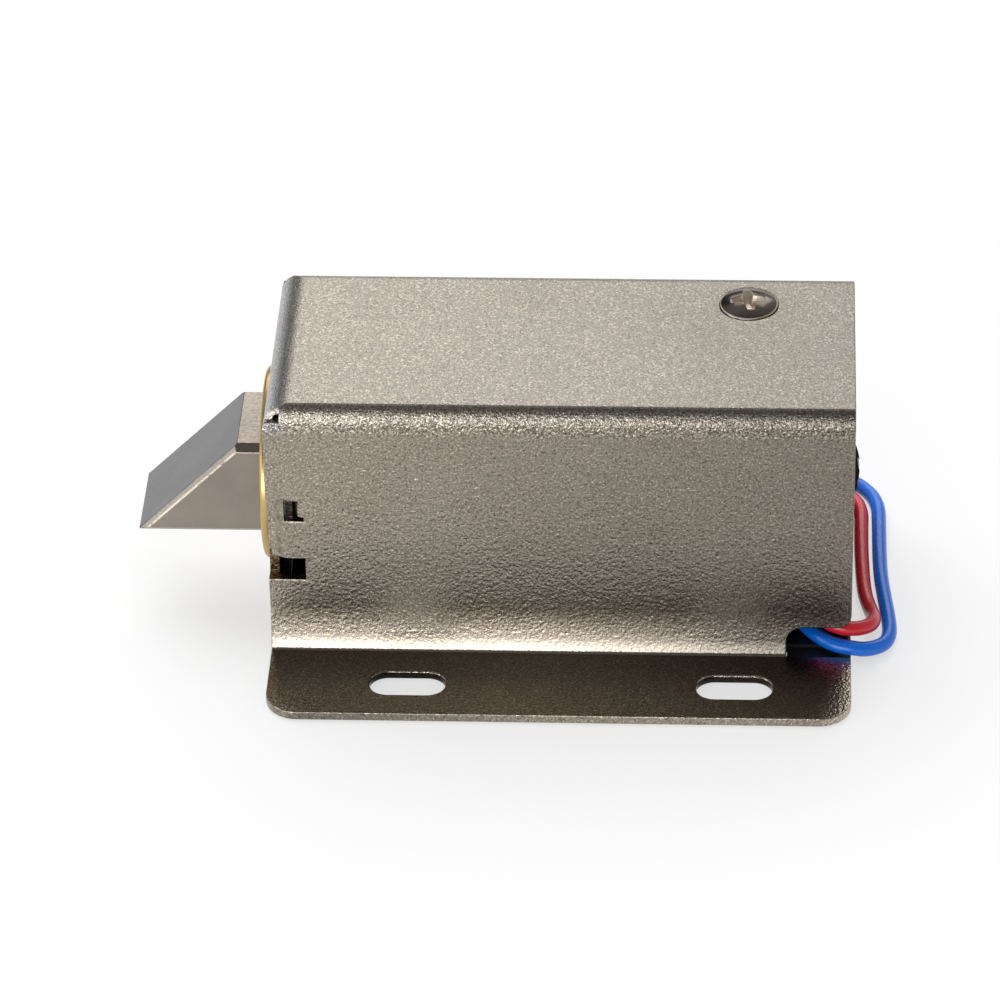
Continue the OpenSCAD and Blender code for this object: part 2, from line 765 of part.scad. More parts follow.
module yoke() {
    out = yoke_bend_r + yoke_t;
    z0 = z_top_in - yoke_leg_h;
    color(steel)
        difference() {
            along_y(axis_y - yoke_w / 2, axis_y + yoke_w / 2) {
                translate([x_yoke, z0]) square([yoke_t, yoke_leg_h - out]);
                translate([x_yoke + out, z_top_in - out]) mirror([1, 0])
                    quarter_ring(yoke_bend_r, out);
                translate([x_yoke + out, z_top_in - yoke_t]) square([yoke_l - 2 * out, yoke_t]);
                translate([x_wire_in - out, z_top_in - out]) quarter_ring(yoke_bend_r, out);
                translate([x_rear_leg, z0]) square([yoke_t, yoke_leg_h - out]);
            }
            rod(x_yoke - past, x_leg + past, sleeve_out_r + seat_gap);
            rod(x_rear_leg - past, x_wire_in + past, core_neck_d / 2 + seat_gap);
            translate([x_screw, y_screw, z_top]) screw_way(head_d + 2 * seat_gap);
            translate([x_screw, y_screw, z_top_in - yoke_t - past])
                cylinder(h = 2 * yoke_t, r = screw_d / 2, $fn = 48);
        }
}

module guide_sleeve() {
    color(brass)
        difference() {
            rod(x_yoke, x_rear_leg, sleeve_out_r);
            rod(x_yoke - past, x_rear_leg + past, sleeve_in_r);
        }
}

module bobbin() {
    x0 = x_leg + seat_gap;
    x1 = x0 + bobbin_l;
    color([0.9, 0.88, 0.8])
        difference() {
            union() {
                rod(x0, x0 + bobbin_flange_t, bobbin_flange_r);
                rod(x0 + bobbin_flange_t, x1 - bobbin_flange_t, winding_in_r);
                rod(x1 - bobbin_flange_t, x1, bobbin_flange_r);
            }
            rod(x0 - past, x1 + past, bobbin_in_r);
        }
}

// A ring between the bobbin's flanges
module between_flanges(inner_r, outer_r) {
    x0 = x_leg + 2 * seat_gap + bobbin_flange_t;
    x1 = x_rear_leg - 2 * seat_gap - bobbin_flange_t;
    difference() {
        rod(x0, x1, outer_r);
        rod(x0 - past, x1 + past, inner_r);
    }
}

module coil_winding() {
    color(copper) between_flanges(winding_in_r + seat_gap, winding_r);
}

module coil_tape() {
    color([0.85, 0.75, 0.2])
        between_flanges(winding_r + seat_gap, winding_r + seat_gap + tape_t);
}

module fixed_core() {
    r = sleeve_in_r - seat_gap;
    color(steel)
        difference() {
            union() {
                edged_rod(x_core, x_rear_leg, r, turned_edge);
                rod(x_rear_leg - turned_edge, x_wire_in, core_neck_d / 2);
            }
            rod(x_wire - core_screw_l - turned_edge, x_wire, screw_d / 2);
            translate([x_wire, axis_y, axis_z]) rotate([0, 90, 0]) screw_way(head_d + 2 * seat_gap);
        }
}

module core_pad() {
    color([0.1, 0.1, 0.1]) rod(x_pad, x_core, core_neck_d / 2 + pad_t);
}

// Leads

function unit(v) = v / norm(v);
function direction(path, i) =
    i == 0 ? unit(path[1] - path[0])
        : i == len(path) - 1 ? unit(path[i] - path[i - 1])
        : unit(unit(path[i + 1] - path[i]) + unit(path[i] - path[i - 1]));
// A direction that rises more steeply than this counts as upright
upright = 0.95;
function across(along) = unit(cross(along, abs(along[2]) > upright ? [1, 0, 0] : [0, 0, 1]));

// A round tube swept along a path, with flat ends square to it
module tube(path, r, sides) {
    last = len(path) - 1;
    rings = [
        for (i = [0:last])
            let (along = direction(path, i), side = across(along), up = cross(side, along))
                for (k = [0:sides - 1])
                    path[i] + r * (cos(360 * k / sides) * side + sin(360 * k / sides) * up)
    ];
    walls = [
        for (i = [0:last - 1], k = [0:sides - 1])
            let (
                a = i * sides + k,
                b = i * sides + (k + 1) % sides,
                c = a + sides,
                d = b + sides
            )
                each [[a, b, d], [a, d, c]]
    ];
    start = [for (k = [sides - 1:-1:0]) k];
    end = [for (k = [0:sides - 1]) last * sides + k];
    polyhedron(points = rings, faces = concat(walls, [start, end]));
}

// A coil in two layers. It starts at the entry point, runs towards -X and winds clockwise:
// in on the lower layer, up a layer over half a turn, and out again on the upper one.
coil_rings = 24;
function coil_spread(turns) = coil_pitch * turns / 4;
function coil_out_r(turns) = coil_r + coil_spread(turns);
function coil_radius(turn, turns) = coil_r - coil_spread(turns) + coil_pitch * abs(turn - turns / 2);
function ease(s) = s <= 0 ? 0 : s >= 1 ? 1 : s * s * (3 - 2 * s);
function coil_height(turn, turns) = coil_pitch * ease(2 * (turn - turns / 2) + 0.5);
function coil_centre(entry, turns) = entry + [-lead_d, coil_out_r(turns), 0];
function coil_point(entry, turns, turn) =
    coil_centre(entry, turns)
        + coil_radius(turn, turns) * [-sin(360 * turn), -cos(360 * turn), 0]
        + [0, 0, coil_height(turn, turns)];
function coil_turn_path(entry, turns) = [
    for (i = [0:round(coil_rings * turns)]) coil_point(entry, turns, i * turns / round(coil_rings * turns))
];
function coil_end_direction(turns) = [-cos(360 * turns), sin(360 * turns), 0];
function coil_end(entry, turns) = coil_point(entry, turns, turns) + lead_d * coil_end_direction(turns);
function coil_path(entry, turns) =
    concat([entry], coil_turn_path(entry, turns), [coil_end(entry, turns)]);

function path_length(path, i = 1) =
    i == len(path) ? 0 : norm(path[i] - path[i - 1]) + path_length(path, i + 1);
// Least distance between the surfaces of turns that are half a turn or more apart
function least_gap(path, rings, r) = min([
    for (i = [0:len(path) - 1], j = [i + rings / 2:1:len(path) - 1])
        norm(path[i] - path[j]) - 2 * r
]);

red_entry = red_route[len(red_route) - 1];
blue_entry = blue_route[len(blue_route) - 1];
red_coil = coil_path(red_entry, red_turns);
blue_coil = coil_path(blue_entry, blue_turns);

module lead_red() {
    color(red) tube(red_route, lead_r, 8);
}

module lead_blue() {
    color(blue) tube(blue_route, lead_r, 8);
}

module lead_red_coil() {
    echo(red_free = path_length(red_route), red_coil = path_length(red_coil),
         red_gap = least_gap(red_coil, coil_rings, lead_r));
    color(red) tube(red_coil, lead_r, 6);
}

module lead_blue_coil() {
    echo(blue_free = path_length(blue_route), blue_coil = path_length(blue_coil),
         blue_gap = least_gap(blue_coil, coil_rings, lead_r));
    color(blue) tube(blue_coil, lead_r, 6);
}

// The bare tinned end of a lead, in line with the coil's last stretch
module tinned_tip(entry, turns) {
    heading = coil_end_direction(turns);
    round_l = tip_d / 4;
    translate(coil_end(entry, turns)) rotate([0, 90, atan2(heading[1], heading[0])]) {
        cylinder(h = tip_l - round_l, r = tip_d / 2, $fn = 24);
        translate([0, 0, tip_l - round_l])
            cylinder(h = round_l, r1 = tip_d / 2, r2 = tip_d / 4, $fn = 24);
    }
}

module lead_red_tip() {
    color([0.8, 0.8, 0.82]) tinned_tip(red_entry, red_turns);
}

module lead_blue_tip() {
    color([0.8, 0.8, 0.82]) tinned_tip(blue_entry, blue_turns);
}

// Sleeve over the solder joint between a lead and the winding
module splice(at) {
    translate(at - [splice_l, 0, 0]) rotate([0, 90, 0]) cylinder(h = splice_l, r = splice_d / 2, $fn = 32);
}

module splice_sleeve_red() {
    color([0.15, 0.15, 0.15]) splice(red_route[0]);
}

module splice_sleeve_blue() {
    color([0.15, 0.15, 0.15]) splice(blue_route[0]);
}

// A tie round the bundle of turns, at an angle of the coil
module coil_tie(entry, turns, at) {
    radii = [for (turn = [at / 360:1:turns]) coil_radius(turn, turns)];
    centre = coil_centre(entry, turns);
    r0 = min(radii) - lead_r - tie_gap;
    r1 = max(radii) + lead_r + tie_gap;
    z0 = tie_t + seat_gap;
    z1 = centre[2] + coil_pitch + lead_r + seat_gap;
    translate([centre[0], centre[1], 0]) rotate([0, 0, -90 - at])
        translate([0, tie_w / 2, 0]) rotate([90, 0, 0]) linear_extrude(tie_w)
            difference() {
                union() {
                    rounded([r0 - tie_t, z0 - tie_t], [r1 + tie_t, z1 + tie_t], 2 * tie_t);
                    translate([r1 - tie_head_l, z1]) square([tie_head_l, tie_head_h]);
                }
                rounded([r0, z0], [r1, z1], tie_t);
            }
}

// A rectangle with round corners
module rounded(low, high, r) {
    for (x = [low[0] + r, high[0] - r], y = [low[1] + r, high[1] - r])
        translate([x, y]) circle(r = r, $fn = 24);
    translate([low[0] + r, low[1]]) square([high[0] - low[0] - 2 * r, high[1] - low[1]]);
    translate([low[0], low[1] + r]) square([high[0] - low[0], high[1] - low[1] - 2 * r]);
}

module coil_tie_red() {
    color([0.12, 0.12, 0.12]) coil_tie(red_entry, red_turns, red_tie_at);
}

module coil_tie_blue() {
    color([0.12, 0.12, 0.12]) coil_tie(blue_entry, blue_turns, blue_tie_at);
}

case_shell();
base_cover();
case_screw();
core_screw();
guide_bush();
latch_bolt();
bolt_pin();
stop_collar();
plunger();
return_spring();
spring_washer();
yoke();
guide_sleeve();
bobbin();
coil_winding();
coil_tape();
fixed_core();
core_pad();
splice_sleeve_red();
splice_sleeve_blue();
lead_red();
lead_blue();
lead_red_coil();
lead_blue_coil();
lead_red_tip();
lead_blue_tip();
coil_tie_red();
coil_tie_blue();
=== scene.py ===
"""Looks of the electromechanical lock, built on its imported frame. Lengths are in metres."""

import json
import math

import bmesh
import bpy
from mathutils import Matrix, Vector

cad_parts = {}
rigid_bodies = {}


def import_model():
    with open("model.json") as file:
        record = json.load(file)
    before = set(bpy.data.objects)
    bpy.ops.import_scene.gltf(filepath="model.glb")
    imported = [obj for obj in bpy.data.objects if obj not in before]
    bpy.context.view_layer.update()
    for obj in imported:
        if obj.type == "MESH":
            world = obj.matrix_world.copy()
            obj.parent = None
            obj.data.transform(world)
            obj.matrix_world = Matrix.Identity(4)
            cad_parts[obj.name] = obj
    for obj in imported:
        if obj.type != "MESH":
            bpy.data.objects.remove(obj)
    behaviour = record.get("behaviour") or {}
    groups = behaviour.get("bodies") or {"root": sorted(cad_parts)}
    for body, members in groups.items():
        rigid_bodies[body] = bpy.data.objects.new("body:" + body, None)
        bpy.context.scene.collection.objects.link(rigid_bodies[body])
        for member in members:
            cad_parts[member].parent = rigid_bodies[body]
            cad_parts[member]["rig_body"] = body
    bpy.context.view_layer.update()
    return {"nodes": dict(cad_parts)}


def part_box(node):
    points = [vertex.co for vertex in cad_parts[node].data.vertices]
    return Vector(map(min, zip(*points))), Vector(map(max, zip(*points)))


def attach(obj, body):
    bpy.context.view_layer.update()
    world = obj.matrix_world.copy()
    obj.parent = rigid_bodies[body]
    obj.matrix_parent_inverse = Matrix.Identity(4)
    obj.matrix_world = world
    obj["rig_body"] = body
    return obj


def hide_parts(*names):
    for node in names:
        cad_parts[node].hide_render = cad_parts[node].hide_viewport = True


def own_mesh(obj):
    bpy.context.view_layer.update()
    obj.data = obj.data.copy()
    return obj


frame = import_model()
nodes = frame["nodes"]
MM = 0.001
X, Y, Z = range(3)
ALONG_X, ALONG_Y, ALONG_Z = (Vector(row) for row in Matrix.Identity(3))

# Camera, as the photograph was taken: its place in millimetres, its turns in degrees
CAMERA_AT = (17.307, -413.178, 307.987)
CAMERA_TURN = 3.248
CAMERA_DIP = 34.702
CAMERA_ROLL = -1.154
CAMERA_CLIP = (0.01, 20)
LENS = 202.05
SENSOR = 36.0


def add_camera():
    turn, dip, roll = (math.radians(a) for a in (CAMERA_TURN, CAMERA_DIP, CAMERA_ROLL))
    back = Vector((math.sin(turn) * math.cos(dip), -math.cos(turn) * math.cos(dip), math.sin(dip)))
    right = Vector((math.cos(turn), math.sin(turn), 0))
    up = back.cross(right)
    rolled_right = right * math.cos(roll) + up * math.sin(roll)
    rolled_up = up * math.cos(roll) - right * math.sin(roll)
    data = bpy.data.cameras.new("camera")
    data.lens = LENS
    data.sensor_width = SENSOR
    data.clip_start, data.clip_end = CAMERA_CLIP
    camera = bpy.data.objects.new("camera", data)
    axes = Matrix((rolled_right, rolled_up, back)).transposed().to_4x4()
    camera.matrix_world = Matrix.Translation(Vector(CAMERA_AT) * MM) @ axes
    bpy.context.scene.collection.objects.link(camera)
    bpy.context.scene.camera = camera


add_camera()


# Small helpers for meshes


def add_object(name, data, body):
    made = bpy.data.objects.new(name, data)
    bpy.context.scene.collection.objects.link(made)
    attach(made, body)
    return made


def smooth_faces(mesh):
    for face in mesh.polygons:
        face.use_smooth = True


def mesh_object(name, points, faces, body):
    mesh = bpy.data.meshes.new(name)
    mesh.from_pydata([tuple(p) for p in points], [], faces)
    mesh.update()
    smooth_faces(mesh)
    return add_object(name, mesh, body)


# The rounded ends of tubes: how far they rise in radii, then the share of rise and of radius
CAP_RISE = 0.3
CAP_STEPS = ((0.55, 0.93), (1.0, 0.75))


def tube(name, line, radius, sides, body):
    """A round tube along a line, its ends rounded over, with no twist from ring to ring."""
    last = len(line) - 1
    headings = [
        (line[min(i + 1, last)] - line[max(i - 1, 0)]).normalized() for i in range(last + 1)
    ]
    side = headings[0].cross(ALONG_Z).normalized()
    rings = []
    for place, heading in zip(line, headings):
        side = (side - heading * side.dot(heading)).normalized()
        rings.append((place, side.copy(), heading.cross(side), radius))
    for at, sign in ((0, -1), (last, 1)):
        place, across, up, _ = rings[at if at == 0 else -1]
        caps = [
            (place + headings[at] * sign * radius * CAP_RISE * rise, across, up, radius * share)
            for rise, share in CAP_STEPS
        ]
        rings = list(reversed(caps)) + rings if at == 0 else rings + caps
    points = []
    for place, across, up, r in rings:
        for k in range(sides):
            angle = math.tau * k / sides
            out = across * (math.cos(angle) * r) + up * (math.sin(angle) * r)
            points.append((place + out) * MM)
    faces = []
    for i in range(len(rings) - 1):
        for k in range(sides):
            this, following = i * sides + k, i * sides + (k + 1) % sides
            faces.append((this, following, following + sides, this + sides))
    faces.append(tuple(reversed(range(sides))))
    faces.append(tuple((len(rings) - 1) * sides + k for k in range(sides)))
    return mesh_object(name, points, faces, body)


# Leads: the points of the routes are those of the CAD solids, in millimetres
LEAD_D = 1.4
LEAD_SIDES = 20
ROUTE_STEPS = 3
COIL_R = 8.0
COIL_PITCH = 1.9
COIL_POINTS = 48
RED_TURNS = 3.15
BLUE_TURNS = 3.5
RED_ROUTE = [
    (15, 8.2, 7.2), (16.6, 8.2, 7.2), (18.3, 8.3, 6.8), (19.9, 8.5, 5.9), (21.2, 8.4, 4.8),
    (22.4, 7.9, 3.8), (23.6, 7.2, 3.1), (24.9, 6.8, 2.8), (26.2, 7, 2.6), (27.2, 7.8, 2.3),
    (27.7, 9, 1.9), (27.8, 10.6, 1.4), (27.5, 12.6, 0.9), (27.1, 15, 0.7), (26.9, 18, 0.7),
    (26.8, 22, 0.7), (26.8, 25.5, 0.7), (26.8, 28.4, 0.7), (26.2, 30.5, 0.7), (24.8, 32, 0.7),
    (22.8, 32.7, 0.7), (20, 32.7, 0.7), (16, 32.5, 0.7), (11.5, 32.2, 0.7),
    (7, 32.1, 0.8), (2, 32.3, 1), (-3, 32.6, 1.15), (-6.5, 32.7, 1.15), (-9, 32.7, 1.15),
]
BLUE_ROUTE = [
    (15, 12.1, 3.4), (16.6, 12.1, 3.4), (18.2, 11.6, 3.1), (19.7, 10.5, 2.6), (20.9, 9.2, 2.1),
    (21.8, 8, 1.8), (22.8, 6.9, 1.7), (23.8, 6.1, 1.6), (24.8, 5.7, 1.5), (25.8, 5.6, 1.4),
    (26.8, 5.7, 1.2), (27.8, 6.2, 1), (28.6, 7, 0.8), (29.1, 8, 0.7), (29.3, 9.4, 0.7),
    (29.2, 11.5, 0.7), (28.9, 14.5, 0.7), (28.6, 18, 0.7), (28.5, 22, 0.7), (28.5, 26, 0.7),
    (28.4, 29.4, 0.7), (27.6, 31.8, 0.7), (26, 33.6, 0.7), (23.6, 34.4, 0.8), (20.6, 34.5, 1),
    (17.6, 34.5, 1.15), (15.6, 34.5, 1.15), (14, 34.5, 1.15),
]


def coil_points(entry, turns):
    """The coil's centreline: in on the lower layer, up over half a turn, out on the upper."""
    spread = COIL_PITCH * turns / 4
    centre = Vector(entry) + Vector((-LEAD_D, COIL_R + spread, 0))
    count = round(COIL_POINTS * turns)
    points = []
    for i in range(count + 1):
        turn = i * turns / count
        radius = COIL_R - spread + COIL_PITCH * abs(turn - turns / 2)
        share = min(1, max(0, 2 * (turn - turns / 2) + 0.5))
        rise = COIL_PITCH * share * share * (3 - 2 * share)
        angle = math.tau * turn
        points.append(centre + Vector((-math.sin(angle) * radius, -math.cos(angle) * radius, rise)))
    angle = math.tau * turns
    heading = Vector((-math.cos(angle), math.sin(angle), 0))
    points.append(points[-1] + heading * LEAD_D)
    return points, heading


def smooth_line(points, steps):
    """A line through all the points, each stretch cut into steps, with no corner left."""
    out = []
    ends = [points[0] * 2 - points[1], *points, points[-1] * 2 - points[-2]]
    for a, b, c, d in zip(ends, ends[1:], ends[2:], ends[3:]):
        slope = c - a
        bend = 2 * a - 5 * b + 4 * c - d
        twist = 3 * b - 3 * c + d - a
        for k in range(steps):
            t = k / steps
            out.append((2 * b + slope * t + bend * t * t + twist * t * t * t) / 2)
    return [*out, points[-1]]


def add_lead(name, route, turns, cad_nodes):
    coil, heading = coil_points(route[-1], turns)
    line = smooth_line([Vector(p) for p in route], ROUTE_STEPS) + coil
    lead = tube(name, line, LEAD_D / 2, LEAD_SIDES, "case")
    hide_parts(*cad_nodes)
    return lead, line, heading


red_lead, red_line, red_heading = add_lead(
    "lead_red_cord", RED_ROUTE, RED_TURNS, ("lead_red", "lead_red_coil")
)
blue_lead, blue_line, blue_heading = add_lead(
    "lead_blue_cord", BLUE_ROUTE, BLUE_TURNS, ("lead_blue", "lead_blue_coil")
)


# Materials: levels that a noise mostly keeps between, and how softly most zones end
GRAIN_LEVELS = (0.3, 0.7)
CLOUD_LEVELS = (0.35, 0.65)
WIDE_CLOUD_LEVELS = (0.35, 0.7)
EDGE = 0.00003


class Nodes:
    """Short ways to add nodes to a tree."""

    def __init__(self, tree):
        self.tree = tree

    def feed(self, socket, value):
        if isinstance(value, bpy.types.NodeSocket):
            self.tree.links.new(value, socket)
        else:
            socket.default_value = value

    def node(self, kind, inputs=None, **settings):
        made = self.tree.nodes.new(kind)
        for key, value in settings.items():
            setattr(made, key, value)
        for key, value in (inputs or {}).items():
            self.feed(made.inputs[key], value)
        return made

    def math(self, operation, a, b=0.0):
        return self.node("ShaderNodeMath", {0: a, 1: b}, operation=operation).outputs[0]

    def minus(self, a, b):
        return self.math("SUBTRACT", a, b)

    def times(self, first, *others):
        """The product of all the values."""
        for value in others:
            first = self.math("MULTIPLY", first, value)
        return first

    def most(self, first, *others):
        """The greatest of the values."""
        for value in others:
            first = self.math("MAXIMUM", first, value)
        return first

    def mix(self, share, a, b):
        """Colour a, which turns to colour b as the share grows."""
        return self.node("ShaderNodeMix", {0: share, 6: a, 7: b}, data_type="RGBA").outputs[2]

    def blend(self, share, a, b):
        """Value a, which turns to value b as the share grows."""
        return self.node("ShaderNodeMix", {0: share, 2: a, 3: b}, data_type="FLOAT").outputs[0]

    def shaded(self, strength, share, factor):
        """The strength, times a factor as far as the share goes."""
        return self.times(strength, self.blend(share, 1.0, factor))

    def ramp(self, value, low, high, out_low=0.0, out_high=1.0, **settings):
        """The value, taken from one range to another and held inside it."""
        inputs = {
            "Value": value,
            "From Min": low,
            "From Max": high,
            "To Min": out_low,
            "To Max": out_high,
        }
        return self.node("ShaderNodeMapRange", inputs, clamp=True, **settings).outputs["Result"]

    def between(self, value, low, high, soft):
        """A share that is full between two bounds and falls off softly past them."""
        rise = self.ramp(value, low - soft, low + soft)
        return self.times(rise, self.ramp(value, high + soft, high - soft))


class Shader(Nodes):
    """A Principled material, its textures placed by the object's own coordinates."""

    def __init__(self, name, **values):
        self.material = bpy.data.materials.new(name)
        self.material.use_nodes = True
        super().__init__(self.material.node_tree)
        self.main = self.tree.nodes["Principled BSDF"]
        for key, value in values.items():
            self.set(key.replace("_", " "), value)
        self.place = self.node("ShaderNodeTexCoord").outputs["Object"]
        self.axes = tuple(self.node("ShaderNodeSeparateXYZ", {0: self.place}).outputs)

    def set(self, key, value):
        self.feed(self.main.inputs[key], value)

    def moved(self, **mapping):
        """The place of the textures, moved, turned or stretched."""
        return self.node("ShaderNodeMapping", {"Vector": self.place, **mapping}).outputs["Vector"]

    def noise(self, scale, detail, rough, place=None):
        inputs = {
            "Vector": place or self.place,
            "Scale": scale,
            "Detail": detail,
            "Roughness": rough,
        }
        return self.node("ShaderNodeTexNoise", inputs).outputs["Fac"]

    def patches(self, noise, *levels):
        """The share of patches in a noise, which is its scale, its detail and its roughness."""
        return self.ramp(self.noise(*noise), *levels)

    def zone(self, *limits):
        """The share of a zone, from its limits on the axes.

        A limit gives an axis, the place where the share is none and the place where it is full, or
        else an axis, the lowest and the highest place and how softly the share falls off past them.
        """
        parts = []
        for axis, *places in limits:
            limit = self.between if len(places) == 3 else self.ramp
            parts.append(limit(self.axes[axis], *places))
        return self.times(*parts)

    def scaled(self, colour, share):
        """The colour, times a share."""
        inputs = {"Vector": colour, "Scale": share}
        return self.node("ShaderNodeVectorMath", inputs, operation="SCALE").outputs["Vector"]

    def clouded(self, colour, dark_share, noise, levels=CLOUD_LEVELS):
        """The colour, with patches where it is darker."""
        dark = (*(c * dark_share for c in colour), 1)
        return self.mix(self.patches(noise, *levels), (*colour, 1), dark)

    def set_roughness(self, grain, low, high):
        self.set("Roughness", self.ramp(grain, *GRAIN_LEVELS, low, high))

    def set_bump(self, height, distance, strength):
        inputs = {"Height": height, "Distance": distance, "Strength": strength}
        self.set("Normal", self.node("ShaderNodeBump", inputs).outputs["Normal"])


def grey(value):
    return (value, value, value, 1)


# Colours of the plated sheet
PLATE_LIGHT = (0.315, 0.278, 0.228, 1)
PLATE_DARK = (0.290, 0.254, 0.206, 1)
# The top's copy of the plate colours, cooler and a little lighter, is a painted reflection
TOP_REFLECTION_LIGHT = (0.314, 0.286, 0.246, 1)
TOP_REFLECTION_DARK = (0.289, 0.261, 0.222, 1)
# A grey-blue tone on the end bend is a painted reflection
END_BEND_REFLECTION = (0.35, 0.34, 0.33, 1)
RAW_SHEET = (0.20, 0.135, 0.075, 1)

# Noises of the plated sheet: scale, detail and roughness, with the levels where they show
CLOUDS = ((60, 4, 0.6), *CLOUD_LEVELS)
COARSE_PEEL = (3400, 1, 0.5)
FINE_PEEL = (6200, 2, 0.6)
SPECKS = ((5200, 1, 0.5), 0.54, 0.68)
PITS = ((4300, 1, 0.5), 0.44, 0.32)
SCUFFS = ((2600, 3, 0.7), 0.46, 0.60)
BURR_GLINTS = ((2200, 2, 0.6), 0.36, 0.5)
TEARS = ((2400, 3, 0.65), 0.38, 0.62)
BEND_GRAINS = ((5600, 1, 0.5), 0.34, 0.66, 0.45, 1.6)
SPECK_SHARE = 0.8
PIT_SHARE = 0.42
PEEL_DEPTH = 0.00008

# Painted light and shade: the plate's colour darkens towards the wire end on the top and front,
# most of all low down, and lightens that way on the flange
PLATE_X = (-0.028, 0.026)
TOP_PAINTED_FADE = (1.16, 0.75)
FRONT_PAINTED_FADE = (1.00, 0.62)
LOW_X = (-0.004, 0.024)
LOW_PAINTED_FADE = (1.25, 0.24)
FLANGE_X = (-0.022, 0.002)
FLANGE_PAINTED_FADE = (0.86, 1.42)

# Faces and bends of the case, as limits on the axes
TOP_ZONE = ((Z, 0.0254, 0.0266),)
FLANGE_ZONE = ((Z, 0.0011, 0.0008), (Y, 0.0054, 0.0048))
LOW_ZONE = ((Z, 0.010, 0.003),)
FOOT_ZONE = ((Z, 0.0034, 0.0021), (Y, 0.0040, 0.0047))
RIM_ZONE = ((Y, -0.0046, -0.0047),)
END_BEND_ZONE = ((X, -0.0257, -0.0264), (Z, 0.0242, 0.0248))
FRONT_BEND_ZONE = ((Z, 0.0243, 0.0268, 0.0002), (Y, 0.0073, 0.0071))
SHOULDER_ZONE = ((Z, 0.0249, 0.0262, 0.0003), (Y, 0.0066, 0.0062))
WITHIN_ZONE = ((X, -0.0270, 0.0262, EDGE), (Y, 0.00665, 0.02885, EDGE), (Z, 0.0261, 0.0260))

# Press marks and cut faces of the case
TONGUE_ZONE = ((X, -0.0271, -0.02645, 0.0002), (Z, 0.0104, 0.0172, 0.0004))
TONGUE_BEND_ZONE = ((X, -0.0269, -0.0258, 0.0001), (Z, 0.0106, 0.0172, EDGE), (Y, 0.0068, 0.0066))
STROKE_ZONE = ((X, -0.02318, -0.02302, 0.00008), (Z, 0.0177, 0.0238, 0.001), (Y, 0.0065, 0.006))
SLOT_WALL_ZONE = (
    (X, -0.01865, 0.01865, 0.00005),
    (Y, -0.00185, 0.00185, 0.00001),
    (Z, 0.00074, 0.00070),
)
WINDOW_WALL_ZONE = (
    (X, -0.0262, -0.0255, EDGE),
    (Y, 0.0059, 0.0068, EDGE),
    (Z, 0.0148, 0.0171, EDGE),
)
TORN_ZONE = (
    (X, -0.0279, -0.0262, 0.0001),
    (Y, 0.0062, 0.0080, 0.0001),
    (Z, 0.0083, 0.01065, EDGE),
)
SMEAR_ZONE = (
    (X, -0.0279, -0.0263, 0.0001),
    (Y, 0.0060, 0.0068, 0.0001),
    (Z, 0.0250, 0.0268, EDGE),
)
MARKS_END = (X, -0.0242, -0.0243)
LIP_Y = (Y, 0.00585, 0.00580)
SILL_Y = (Y, 0.00582, 0.0068, EDGE)
LIP_ZONES = (
    (MARKS_END, LIP_Y, (Z, 0.00810, 0.00825, EDGE)),
    (MARKS_END, LIP_Y, (Z, 0.01460, 0.01475, EDGE)),
)
SILL_ZONES = (
    (MARKS_END, SILL_Y, (Z, 0.0080, 0.00829, EDGE)),
    (MARKS_END, SILL_Y, (Z, 0.0145, 0.01478, EDGE), (X, -0.0258, -0.0256)),
)

# How much brighter or duller each of them is: the inside, the slots' walls and the window's walls
# get painted shade
INSIDE_PAINTED_SHADE = 0.03
SCUFF_SHARE = 0.55
# The lips of the notch and the window are brightened as a painted highlight on their burrs
LIP_HIGHLIGHT_SHARE = 2.6
ZONE_SHARES = (
    (STROKE_ZONE, 1.16),
    (SLOT_WALL_ZONE, 0.06),
    (WITHIN_ZONE, INSIDE_PAINTED_SHADE),
    (WINDOW_WALL_ZONE, 0.2),
)
TORN_SHARES = (0.25, 1.5)
# The smear at the corner relief is raw metal brightened as a painted highlight
SMEAR_AND_HIGHLIGHT_SHARES = (1.2, 3.2)
SMEAR_BARE = 0.4
# Painted shade that tones down the flange's rim and the top's front shoulder
BEND_PAINTED_SHADES = ((RIM_ZONE, 0.75), (SHOULDER_ZONE, 0.72))

# How far the peel is calmed, and specks and pits are hidden, on some faces
TOP_CALM = 0.5
FLANGE_CALM = 0.45
FOOT_CALM = 0.7
LOW_CALM = 0.35
TOP_CLEAN = 0.1
FOOT_CLEAN = 0.7

# Roughness of the plate
PLATE_GLOSS = (0.25, 0.36)
FLANGE_GLOSS = 0.2
FOOT_GLOSS = 0.25
TONGUE_BEND_GLOSS = 0.6


def plate_marks(s, strength):
    """The plate's strength with the press marks, painted highlights and painted shade in it, and
    the share of bare metal.
    """
    scuffed = s.times(s.zone(*TONGUE_ZONE), s.patches(*SCUFFS))
    strength = s.shaded(strength, scuffed, SCUFF_SHARE)
    # Painted highlight: dotted bright lines along the burred lips
    lip_glints = s.times(s.most(*(s.zone(*limits) for limits in LIP_ZONES)), s.patches(*BURR_GLINTS))
    strength = s.shaded(strength, lip_glints, LIP_HIGHLIGHT_SHARE)
    # The stroke is brighter; the slots' walls, the inside and the window's walls get painted shade
    for limits, share in ZONE_SHARES:
        strength = s.shaded(strength, s.zone(*limits), share)
    # Metal torn at the notch and smeared at the corner relief, the smear brightened as a painted
    # highlight
    torn = s.zone(*TORN_ZONE)
    smear = s.zone(*SMEAR_ZONE)
    mottled = s.patches(*TEARS)
    strength = s.blend(torn, strength, s.ramp(mottled, 0.0, 1.0, *TORN_SHARES))
    strength = s.blend(smear, strength, s.ramp(mottled, 0.0, 1.0, *SMEAR_AND_HIGHLIGHT_SHARES))
    # Painted shade on the rim and the shoulder
    for limits, share in BEND_PAINTED_SHADES:
        strength = s.shaded(strength, s.zone(*limits), share)
    strength = s.shaded(strength, s.zone(*FRONT_BEND_ZONE), s.patches(*BEND_GRAINS))
    bare = s.most(*(s.zone(*limits) for limits in SILL_ZONES), torn, s.times(smear, SMEAR_BARE))
    return strength, bare


